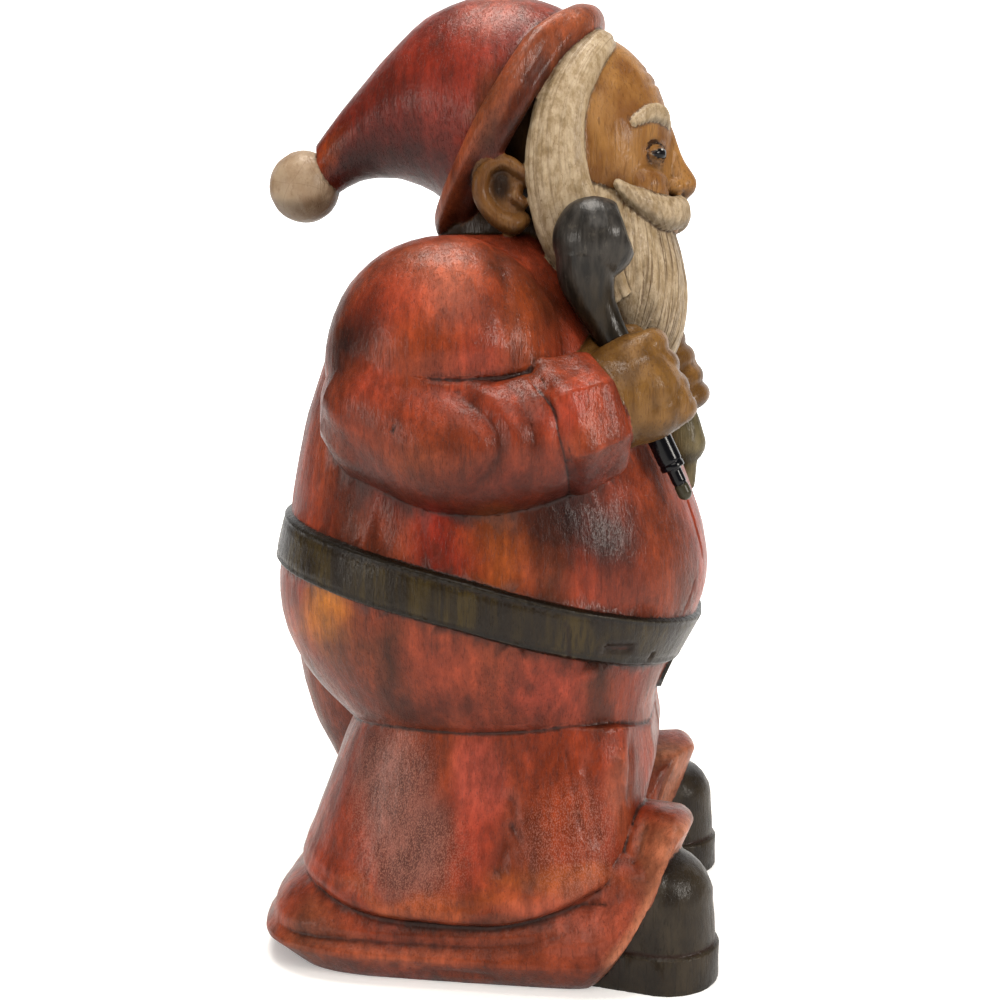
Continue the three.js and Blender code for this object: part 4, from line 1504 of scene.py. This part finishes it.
def carved_figure():
    """The carved skin, and the forms of its zones."""
    forms_by_zone = zones()
    every_form = [form for forms in forms_by_zone.values() for form in forms]
    figure = melted("santa_figure_carved", every_form, VOXEL)
    cut_away(figure, pipe_hollow())
    mesh = figure.data
    smoother = Smoother(mesh)
    points = smoother.relax(read_points(mesh), 2)
    masks = masks_of(zone_distances(points, forms_by_zone))

    # the arms run softly into the coat, and so do the cheeks into the face
    soft = np.max([
        masks["arm"] * smoothstep(points[:, 2], 186, 200),
        masks["body"] * smoothstep(points[:, 2], 182, 200),
        masks["face"] * 0.35,
    ], axis=0)
    soft = smoother.relax(soft, 4)[:, None]
    points = lerp(points, smoother.relax(points, 40), soft)
    write_points(mesh, points)

    wood = Wood(points, masks)
    moved = sum(carve(wood) for carve in CARVINGS) * smoothstep(points[:, 2], 0.3, 3)
    points = points + read_normals(mesh) * moved[:, None]
    points[:, 2] = np.maximum(points[:, 2], 0)
    write_points(mesh, points)

    crease = np.float32(hollow_measure(mesh, points, 6))
    store(mesh, "crease", crease)
    # how deep each point lies in a broad hollow, for the painted shade there
    store(mesh, "hollow", hollow_measure(mesh, points, 40))
    thin_out(figure, FIGURE_TRIANGLES, np.max([
        *[0.95 * masks[zone] for zone in ("beard", "whisker", "hair", "face", "ear", "eye", "hand")],
        *[0.6 * masks[zone] for zone in ("belt", "cloth", "pompom", "brim", "cuff", "skirt")],
        0.8 * smoothstep(np.abs(crease.astype(float)), 0.02, 0.12),
    ], axis=0))
    return figure, forms_by_zone


def shade_spots(wood):
    """Painted shade in the elbow's hole, the ears' hollows, the nostrils, on the neck behind the ears, and
    in the belt's slot, hole and loop: 0 to 1.
    """
    points = wood.points
    spots = [(ELBOW_HOLE, (1.5, 1.2, 1.9), 1.0)]
    for side in BOTH:
        spots.append(((28.6 * side, -7.5, 239.6), (3.4, 3.6, 5.4), 0.95))
        spots.append((nostril(side), (1.3, 1.6, 1.1), 0.9))
    dark = wood.masks["face"] * smoothstep(points[:, 1], -24, -16) * 0.92
    for place, size, strength in spots:
        dark = np.maximum(dark, strength * (1 - smoothstep(gap(points, place, size), 0.5, 1.3)))
    for line, width in ((BELT_SLOT, 2.3), (BELT_HOLE, 1.9), (BELT_LOOP, 0.8)):
        near, distances, _ = wood.near(line, width * 3)
        dark[near] = np.maximum(dark[near], 0.9 * hump(distances, 0, width))
    return dark


def eye_gap(points, out, ahead, height, furthest):
    """How far points lie from a place in the nearer eye."""
    return np.clip(np.min([gap(points, (out * side, ahead, height)) for side in BOTH], axis=0), 0, furthest)


# Where pale specks stand out on the stain
SPECKLED = (
    ((-54, 24, 58), (18, 16, 22)),
    ((-62, 14, 40), (18, 18, 16)),
    ((-60, -34, 46), (16, 16, 18)),
)


def paint_figure(figure, forms_by_zone):
    """Keeps on the points all that the material reads."""
    mesh = figure.data
    points = read_points(mesh)
    distances = zone_distances(points, forms_by_zone)
    # over the shoe the cloth's edge keeps its own paint
    distances["shoe"] += 6 * smoothstep(points[:, 1], -58, -53) * smoothstep(points[:, 2], 26, 29)
    masks = masks_of(distances)
    for name, members in PAINTS.items():
        store(mesh, name, border_field(distances, members))
    wood = Wood(points, masks)
    u, v, a = beard_coordinates(points)
    across, run = hair_coordinates(points)
    in_beard = masks["beard"] > 0.5
    belt_edge = BELT_WIDTH / 2 - np.abs(points[:, 2] - belt_middle(bearing(points)))
    speckle = np.min([gap(points, place, size) for place, size in SPECKLED], axis=0)
    fields = {
        # broad colour, with its painted highlights and painted shade
        "stain": stained_and_shaded_paint(wood),
        "strand_u": np.where(in_beard, u, across * 9),
        "strand_v": np.where(in_beard, v, run),
        "hand_share": masks["hand"],
        "ear_share": masks["ear"],
        "beard_front": masks["beard"] * smoothstep(np.cos(a), 0.3, 0.7),
        "belt_inside": np.clip(belt_edge, -2, 9),
        "iris": eye_gap(points, 13, -55, EYES, 9),
        "glint": eye_gap(points, 15.2, -55.4, EYES + 1.4, 3),
        "shade_spot": shade_spots(wood),
        "seam": seam_field(distances),
        # how far a surface faces down, for the painted shade on undersides
        "underside": smoothstep(-read_normals(mesh)[:, 2], 0.0, 0.75),
        "speckle": 1 - smoothstep(speckle, 0.5, 1.3),
    }
    for name, values in fields.items():
        store(mesh, name, values)
    mesh.shade_smooth()
    write_points(mesh, points * MM)


# The pipe

def pipe_hollow():
    """The space of the pipe with its clearance all round."""
    grow = PIPE_CLEARANCE
    space = melted("space", [
        *bowl_and_shank(grow),
        grip_bar(SHANK_RADIUS + grow, SHANK_START, SHANK_END + grow),
        grip_bar(STEM_TIP_RADIUS + grow, STEM_START, STEM_END + 1 + grow),
    ], 0.45)
    mesh = space.data
    bpy.data.objects.remove(space)
    return mesh


def bowl_mouth():
    """The mouth's hollow, as places along the way out and shares of its radius."""
    profile = [
        (-BOWL_MOUTH_DEPTH, 0.55),
        (-BOWL_MOUTH_DEPTH + 1, 0.85),
        (-1.2, 0.98),
        (0, 1.04),
        (0, 3),
        (12, 3),
    ]
    across = vec(1, 0, 0)
    up = np.cross(BOWL_FACING, across)
    return skin([oval(BOWL_MOUTH + BOWL_FACING * out, across * BOWL_MOUTH_RADIUS * wide,
                      up * BOWL_MOUTH_RADIUS * wide, 48) for out, wide in profile])


def carved_pipe():
    pipe = melted("pipe_carved", [
        *bowl_and_shank(),
        grip_bar(SHANK_RADIUS, SHANK_START, SHANK_END),
        grip_bar(STEM_TIP_RADIUS, STEM_START, STEM_END),
        egg(GRIP_MIDDLE + GRIP_AXIS * STEM_END, (STEM_TIP_RADIUS,) * 3),
    ], 0.3 if FINE else 0.6)
    cut_away(pipe, mesh_of("mouth", bowl_mouth()))
    mesh = pipe.data
    points = Smoother(mesh).relax(read_points(mesh), 3)
    write_points(mesh, points)
    down = (points - GRIP_MIDDLE) @ GRIP_AXIS
    on_bowl = 1 - smoothstep(down, -18, -10)
    moved = on_bowl * (0.22 * noise(points, (6, 6, 9), 91) + 0.1 * noise(points, (2.6, 2.6, 6), 92))
    for place in STEM_RINGS:
        moved -= 0.25 * hump(down, place, 0.4) * (1 - on_bowl)
    points = points + read_normals(mesh) * moved[:, None]
    write_points(mesh, points)
    store(mesh, "down", down)
    store(mesh, "crease", hollow_measure(mesh, points, 6))
    store(mesh, "mouth_gap", gap(points, BOWL_MOUTH))
    thin_out(pipe, PIPE_TRIANGLES, np.full(len(points), 0.5))
    pipe.data.shade_smooth()
    write_points(pipe.data, read_points(pipe.data) * MM)
    return pipe


# Materials

class Paint:
    """Builds a material out of nodes; sizes are in millimetres."""

    def __init__(self, name):
        self.material = bpy.data.materials.new(name)
        self.material.use_nodes = True
        self.tree = self.material.node_tree
        self.tree.nodes.clear()
        self.place = self.new("ShaderNodeTexCoord").outputs["Object"]

    def new(self, kind):
        return self.tree.nodes.new(kind)

    def feed(self, socket, value):
        if isinstance(value, bpy.types.NodeSocket):
            self.tree.links.new(value, socket)
        elif socket.type == "RGBA":
            socket.default_value = (*value, 1)
        else:
            socket.default_value = value

    def math(self, operation, *values):
        node = self.new("ShaderNodeMath")
        node.operation = operation
        for socket, value in zip(node.inputs, values):
            self.feed(socket, value)
        return node.outputs[0]

    def add(self, a, b):
        return self.math("ADD", a, b)

    def times(self, a, b):
        return self.math("MULTIPLY", a, b)

    def most(self, a, b):
        return self.math("MAXIMUM", a, b)

    def inverse(self, value):
        return self.math("SUBTRACT", 1.0, value)

    def pick(self, amount, a, b):
        """Goes from number a to number b."""
        return self.add(self.times(self.inverse(amount), a), self.times(amount, b))

    def ease(self, value, low, high, start=0.0, end=1.0):
        """Eases from start to end while the value goes from low to high."""
        node = self.new("ShaderNodeMapRange")
        node.interpolation_type = "SMOOTHSTEP"
        for socket, given in zip(node.inputs, (value, low, high, start, end)):
            self.feed(socket, given)
        return node.outputs[0]

    def kept(self, name, colour=False):
        node = self.new("ShaderNodeAttribute")
        node.attribute_name = name
        return node.outputs["Color" if colour else "Fac"]

    def scaled(self, cell):
        """Places counted in cells of that many millimetres."""
        node = self.new("ShaderNodeVectorMath")
        node.operation = "MULTIPLY"
        self.feed(node.inputs[0], self.place)
        node.inputs[1].default_value = [1 / (MM * size) for size in cell]
        return node.outputs[0]

    def strands(self, pitch, run):
        """Places counted across and along the strands of hair."""
        node = self.new("ShaderNodeCombineXYZ")
        self.feed(node.inputs[0], self.times(self.kept("strand_u"), 1 / pitch))
        self.feed(node.inputs[1], self.times(self.kept("strand_v"), 1 / run))
        return node.outputs[0]

    def grain(self, cell, detail=2.0, twist=0.0, rough=0.5, place=None):
        """Cloudy noise from 0 to 1 with cells of that many millimetres."""
        node = self.new("ShaderNodeTexNoise")
        self.feed(node.inputs["Vector"], place or self.scaled(cell))
        node.inputs["Scale"].default_value = 1
        node.inputs["Detail"].default_value = detail
        node.inputs["Roughness"].default_value = rough
        node.inputs["Distortion"].default_value = twist
        return node.outputs["Fac"]

    def patches(self, cell, low, high, start=0.0, end=1.0, **kinds):
        """Eases from start to end between two levels of the cloudy noise."""
        return self.ease(self.grain(cell, **kinds), low, high, start, end)

    def cracks(self, cell):
        """Distance to the borders of a net of cells."""
        node = self.new("ShaderNodeTexVoronoi")
        node.feature = "DISTANCE_TO_EDGE"
        self.feed(node.inputs["Vector"], self.scaled(cell))
        node.inputs["Scale"].default_value = 1
        return node.outputs["Distance"]

    def blend(self, amount, a, b, kind="MIX"):
        node = self.new("ShaderNodeMix")
        node.data_type = "RGBA"
        node.blend_type = kind
        self.feed(node.inputs[0], amount)
        self.feed(node.inputs[6], a)
        self.feed(node.inputs[7], b)
        return node.outputs[2]

    def tones(self, amount, first, second):
        return self.blend(amount, srgb(*first), srgb(*second))

    def layered(self, colour, washes):
        """Lays washes, each an amount and a colour, one by one over a colour."""
        for amount, *wash in washes:
            colour = self.blend(amount, colour, srgb(*wash))
        return colour

    def dimmed(self, colour, factor):
        grey = self.new("ShaderNodeCombineColor")
        for socket in grey.inputs:
            self.feed(socket, factor)
        return self.blend(1.0, colour, grey.outputs[0], "MULTIPLY")

    def relief(self, layers):
        """Adds up heights in millimetres, each a field and its depth."""
        height = 0.0
        for field, depth in layers:
            height = self.add(height, self.times(field, depth))
        return height

    def surface(self, colour, roughness, height, coat=0.0, coat_roughness=0.2, specular=0.5, glow=0.0):
        bump = self.new("ShaderNodeBump")
        bump.inputs["Distance"].default_value = MM
        self.feed(bump.inputs["Height"], height)
        shader = self.new("ShaderNodeBsdfPrincipled")
        self.feed(shader.inputs["Base Color"], colour)
        self.feed(shader.inputs["Roughness"], roughness)
        self.feed(shader.inputs["Normal"], bump.outputs[0])
        self.feed(shader.inputs["Coat Normal"], bump.outputs[0])
        shader.inputs["Specular IOR Level"].default_value = specular
        shader.inputs["Coat Weight"].default_value = coat
        shader.inputs["Coat Roughness"].default_value = coat_roughness
        shader.inputs["Emission Color"].default_value = (1, 1, 1, 1)
        self.feed(shader.inputs["Emission Strength"], glow)
        output = self.new("ShaderNodeOutputMaterial")
        self.tree.links.new(shader.outputs[0], output.inputs[0])
        return self.material


def wood_grain(p):
    """The pores and fibres that run up and down through the whole carving."""
    short_pores = p.patches((0.35, 0.35, 3), 0.58, 0.70, rough=0.6)
    long_pores = p.patches((0.7, 0.7, 14), 0.60, 0.70, twist=0.15)
    fields = p.patches((26, 26, 60), 0.3, 0.6, 0.35, 1.0)
    pores = p.most(p.times(short_pores, fields), p.times(long_pores, 0.8))
    fibre = p.grain((1.5, 1.5, 34), detail=4, rough=0.6)
    fleck = p.grain((0.32, 0.32, 0.6), rough=0.7)
    return pores, fibre, fleck


def stained_cloth(p, pores, fibre, fleck):
    """Colour of the coat, the hat and the brim: stain rubbed into the wood, on a kept colour that also
    holds painted highlights and shade.
    """
    streaks = p.patches((3.0, 3.0, 60), 0.3, 0.72, 0.78, 1.12, detail=3)
    cloud = p.patches((9, 9, 15), 0.3, 0.7, 0.66, 1.24, detail=6, rough=0.66)
    mottle = p.patches((2.2, 2.2, 4.5), 0.3, 0.7, 0.8, 1.16, detail=5, rough=0.7)
    smudge = p.patches((12, 12, 22), 0.52, 0.74, 0.0, 0.6, detail=5, rough=0.6, twist=0.4)
    stain = p.dimmed(p.kept("stain", colour=True), p.times(p.times(streaks, cloud), mottle))
    return p.layered(stain, (
        (p.ease(fibre, 0.5, 0.75, 0.0, 0.25), 92, 34, 20),
        (smudge, 78, 36, 22),
        (p.times(p.ease(fleck, 0.48, 0.60, 0.0, 0.5), p.kept("speckle")), 196, 132, 114),
        (p.ease(fleck, 0.56, 0.74, 0.0, 0.12), 206, 118, 84),
        (p.ease(fleck, 0.28, 0.42, 0.35, 0.0), 64, 22, 16),
        (p.times(pores, 0.36), 52, 20, 14),
    ))


def belt_colour(p, pores, fibre):
    olive = p.tones(p.patches((8, 8, 40), 0.34, 0.66, detail=4), (34, 24, 13), (68, 54, 22))
    return p.layered(olive, (
        (p.ease(fibre, 0.42, 0.62, 0.0, 0.75), 32, 23, 14),
        (p.ease(p.kept("belt_inside"), 1.0, 2.8, 0.8, 0.0), 22, 16, 11),
        (p.times(pores, 0.7), 28, 22, 16),
    ))


def shoe_colour(p, pores, fibre):
    brown = p.tones(p.patches((10, 10, 14), 0.3, 0.7, detail=4), (34, 26, 18), (62, 52, 38))
    return p.layered(brown, (
        (p.ease(fibre, 0.5, 0.75, 0.0, 0.5), 38, 32, 26),
        (p.times(pores, 0.4), 28, 24, 20),
    ))


def skin_colour(p, pores):
    face = p.tones(p.patches((8, 8, 13), 0.28, 0.72, detail=4), (132, 84, 38), (178, 128, 70))
    hand = p.tones(p.patches((6, 6, 16), 0.3, 0.7, detail=3), (104, 70, 28), (146, 104, 52))
    return p.layered(p.blend(p.kept("hand_share"), face, hand), (
        (p.times(p.kept("ear_share"), 0.55), 86, 50, 26),
        (p.patches((0.7, 0.7, 9), 0.54, 0.68, 0.0, 0.4, detail=3), 84, 50, 24),
        (p.times(pores, 0.35), 84, 50, 28),
    ))


def hair_colour(p):
    """Colour of hair and beard, and the height of their strands."""
    fine = p.grain(None, detail=3, place=p.strands(0.75, 26))
    broad = p.grain(None, place=p.strands(1.9, 40))
    lines = p.most(p.ease(fine, 0.52, 0.64), p.ease(broad, 0.56, 0.66))
    in_front = p.kept("beard_front")
    mottle = p.patches((2.6, 2.6, 4), 0.3, 0.7, detail=5, rough=0.65)
    colour = p.layered(p.tones(mottle, (164, 139, 103), (214, 192, 160)), (
        (p.times(lines, p.ease(in_front, 0.0, 1.0, 0.28, 0.72)), 98, 68, 38),
        (p.patches((0.9, 0.9, 1.6), 0.60, 0.70, 0.0, 0.5, detail=3, rough=0.7), 128, 98, 64),
    ))
    height = p.times(p.math("SUBTRACT", 0.5, lines), p.ease(in_front, 0.0, 1.0, 0.05, 0.22))
    return colour, height


def pompom_colour(p):
    base = p.tones(p.patches((7, 7, 7), 0.3, 0.7, detail=4), (160, 132, 104), (190, 166, 138))
    return p.layered(base, (
        (p.patches((2.4, 2.4, 3.2), 0.52, 0.72, 0.0, 0.5, detail=5, rough=0.7), 134, 100, 74),
        (p.ease(p.cracks((11, 11, 9)), 0.0, 0.02, 0.22, 0.0), 120, 84, 62),
    ))


def cloth_colour(p, fibre):
    base = p.tones(p.patches((5, 5, 9), 0.3, 0.7, detail=4), (92, 82, 56), (136, 122, 88))
    return p.layered(base, [(p.ease(fibre, 0.5, 0.72, 0.0, 0.5), 66, 56, 38)])


def eye_colour(p):
    iris = p.tones(p.ease(p.kept("iris"), 4.2, 5.0), (12, 11, 16), (58, 34, 20))
    return p.layered(iris, [(p.ease(p.kept("glint"), 0.4, 0.9, 1.0, 0.0), 232, 228, 220)])


def figure_material():
    p = Paint("stained_carved_wood")
    pores, fibre, fleck = wood_grain(p)
    wobble = p.patches((1.4, 1.4, 2.4), 0.2, 0.8, -0.35, 0.35, detail=3)

    def part(name):
        return p.ease(p.add(p.kept(name), wobble), -0.16, 0.16)

    # paint over the stained cloth: its border, its colour and its roughness
    hair, strand_height = hair_colour(p)
    shares = {name: part(name) for name in PAINTS if name != "eye_paint"}
    shares["eye_paint"] = p.ease(p.kept("eye_paint"), -0.12, 0.12)
    layers = (
        ("belt_paint", belt_colour(p, pores, fibre), 0.36),
        ("shoe_paint", shoe_colour(p, pores, fibre), 0.42),
        ("cloth_paint", cloth_colour(p, fibre), 0.55),
        ("skin_paint", skin_colour(p, pores), 0.45),
        ("hair_paint", hair, 0.62),
        ("pompom_paint", pompom_colour(p), 0.6),
        ("eye_paint", eye_colour(p), 0.12),
    )
    colour = stained_cloth(p, pores, fibre, fleck)
    roughness = p.patches((4, 4, 11), 0.25, 0.75, 0.34, 0.5, detail=3)
    for name, tint, gloss in layers:
        colour = p.blend(shares[name], colour, tint)
        roughness = p.pick(shares[name], roughness, gloss)
    pale = p.most(p.most(shares["skin_paint"], shares["hair_paint"]), shares["pompom_paint"])
    dark = p.tones(pale, (48, 24, 18), (98, 66, 38))
    not_eye = p.inverse(part("eye_paint"))

    # dark wash and painted shade in the cuts and the seams; painted shade in the hollows and on what faces
    # down
    crease = p.kept("crease")
    rub = p.grain((1.2, 1.2, 3.5), detail=3)
    rubbed = p.add(crease, p.ease(rub, 0.2, 0.8, -0.03, 0.03))
    deep = p.ease(p.add(crease, p.ease(rub, 0.2, 0.8, -0.02, 0.02)), 0.05, 0.22)
    colour = p.blend(p.times(deep, p.pick(pale, 0.72, 0.6)), colour, dark)
    seam = p.times(p.kept("seam"), p.ease(rubbed, 0.01, 0.06))
    colour = p.layered(colour, [(p.times(seam, 0.72), 44, 24, 14)])
    # painted shade in the hollows
    colour = p.blend(p.ease(p.kept("hollow"), 0.08, 0.9, 0.0, 0.8), colour, dark)
    # painted shade: surfaces that face down are dimmed to half
    colour = p.dimmed(colour, p.ease(p.kept("underside"), 0.0, 1.0, 1.0, 0.5))

    # stain worn off the edges, down to the wood
    lit = p.tones(pale, (214, 128, 92), (226, 204, 164))
    lit = p.layered(lit, [(p.most(shares["belt_paint"], shares["shoe_paint"]), 122, 108, 80)])
    colour = p.blend(p.times(p.ease(rubbed, -0.08, -0.24, 0.0, 0.4), not_eye), colour, lit)
    # painted shade in the small holes and recesses
    colour = p.layered(colour, [(p.kept("shade_spot"), 36, 22, 13)])

    height = p.relief((
        (pores, -0.10),
        (fibre, 0.07),
        (fleck, 0.05),
        (p.grain((3.2, 3.2, 9), detail=3), 0.3),
        (p.grain((0.8, 0.8, 1.3)), 0.11),
        (strand_height, shares["hair_paint"]),
    ))
    roughness = p.add(roughness, p.times(pores, 0.15))
    return p.surface(colour, roughness, p.times(height, not_eye),
                     coat=0.32, coat_roughness=0.24, specular=0.04)


def pipe_material():
    p = Paint("dark_pipe_wood")
    down = p.kept("down")
    polished = p.ease(down, 9.5, 10)
    tip = p.ease(down, 31.0, 31.4)
    streak = p.patches((2.4, 2.4, 14), 0.3, 0.7, detail=4)
    rubbed = p.patches((3, 3, 5), 0.55, 0.75, 0.0, 0.6, detail=4, rough=0.7)
    worn = p.ease(p.kept("crease"), -0.02, -0.09, 0.0, 0.4)
    bowl = p.layered(p.tones(streak, (34, 32, 30), (70, 66, 62)), [(rubbed, 98, 92, 84)])
    shank = p.tones(streak, (28, 23, 16), (54, 44, 30))
    colour = p.layered(p.blend(p.ease(down, -46, -26), bowl, shank), (
        (polished, 9, 10, 16),
        (tip, 62, 58, 42),
        (p.ease(p.kept("mouth_gap"), 4.0, 6.2, 0.75, 0.0), 20, 17, 15),
        (p.times(worn, p.inverse(polished)), 126, 118, 106),
    ))
    roughness = p.pick(polished, p.patches((3, 3, 6), 0.25, 0.75, 0.3, 0.46, detail=3), 0.16)
    height = p.relief(((p.grain((1.0, 1.0, 9), detail=3), 0.14), (p.grain((0.5, 0.5, 1.2)), 0.05)))
    return p.surface(colour, p.pick(tip, roughness, 0.4), p.times(height, p.inverse(polished)),
                     coat=0.22, coat_roughness=0.18, specular=0.1)


def floor_material():
    p = Paint("pale_floor")
    cloud = p.patches((60, 60, 60), 0.3, 0.7, detail=3)
    colour = p.blend(cloud, (0.86, 0.86, 0.86), (0.88, 0.88, 0.88))
    towards_back = p.new("ShaderNodeSeparateXYZ")
    p.feed(towards_back.inputs[0], p.place)
    glow = p.ease(towards_back.outputs[0], 0.05, 1.0, 0.26, 1.0)
    return p.surface(colour, 0.8, p.times(p.grain((0.8, 0.8, 0.8)), 0.02), glow=glow, specular=0.1)


# Floor, light and camera, in metres

def floor():
    """A pale floor that curves up behind the figure."""
    half, depth, curve = 4.0, 3.0, 1.2
    profile = [(-3.0, 0.0), (depth, 0.0)]
    profile += [(depth + curve * math.sin(turn), curve - curve * math.cos(turn))
                for turn in np.linspace(0.1, math.pi / 2, 14)]
    profile.append((depth + curve, 4.0))
    points = [(along_view, side, rise) for along_view, rise in profile for side in (-half, half)]
    faces = [(2 * i, 2 * i + 2, 2 * i + 3, 2 * i + 1) for i in range(len(profile) - 1)]
    made = place_object("floor", mesh_of("floor", (points, faces)))
    made.data.shade_smooth()
    made.data.materials.append(floor_material())


WARM = (1.0, 0.95, 0.88)
WORLD_LIGHT = 0.18
# Lamps: name, place, height of the spot on the axis that each points at, size and power
LAMPS = (
    ("over_camera", (-1.2, -0.2, 1.5), 0.15, (1.2, 1.2), 16),
    ("front_window", (-0.78, -1.48, 0.68), 0.14, (0.42, 0.42), 16),
    ("back_window", (-1.05, 1.35, 0.42), 0.12, (0.4, 0.5), 7),
    ("ceiling", (0.1, 0.1, 1.9), 0.15, (1.0, 1.0), 40),
)


def aim(made, place, direction):
    made.location = place
    made.rotation_euler = direction.to_track_quat("-Z", "Y").to_euler()


def lighting():
    for name, place, height, size, power in LAMPS:
        light = bpy.data.lights.new(name, "AREA")
        light.shape = "RECTANGLE"
        light.size, light.size_y = size
        light.energy = power
        light.color = WARM
        aim(place_object(name, light), place, Vector((0, 0, height)) - Vector(place))
    world = bpy.data.worlds.new("studio")
    world.use_nodes = True
    background = world.node_tree.nodes["Background"]
    background.inputs[0].default_value = (*WARM, 1)
    background.inputs[1].default_value = WORLD_LIGHT
    bpy.context.scene.world = world
    bpy.context.scene.view_settings.view_transform = "Standard"


SENSOR_WIDTH = 36
FOCAL_LENGTH = 50.4
CAMERA_PLACE = (-0.45808, -0.06741, 0.2005)
CAMERA_DIRECTION = (0.98180, 0.13798, -0.13053)


def camera():
    lens = bpy.data.cameras.new("camera")
    lens.sensor_width = SENSOR_WIDTH
    lens.lens = FOCAL_LENGTH
    lens.clip_start = 0.01
    made = place_object("camera", lens)
    aim(made, CAMERA_PLACE, Vector(CAMERA_DIRECTION))
    bpy.context.scene.camera = made


def dress(made, material, node):
    made.data.materials.clear()
    made.data.materials.append(material)
    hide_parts(node)
    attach(made, "root")


camera()
floor()
lighting()
santa, santa_zones = carved_figure()
paint_figure(santa, santa_zones)
dress(santa, figure_material(), "santa_figure")
dress(carved_pipe(), pipe_material(), "pipe")
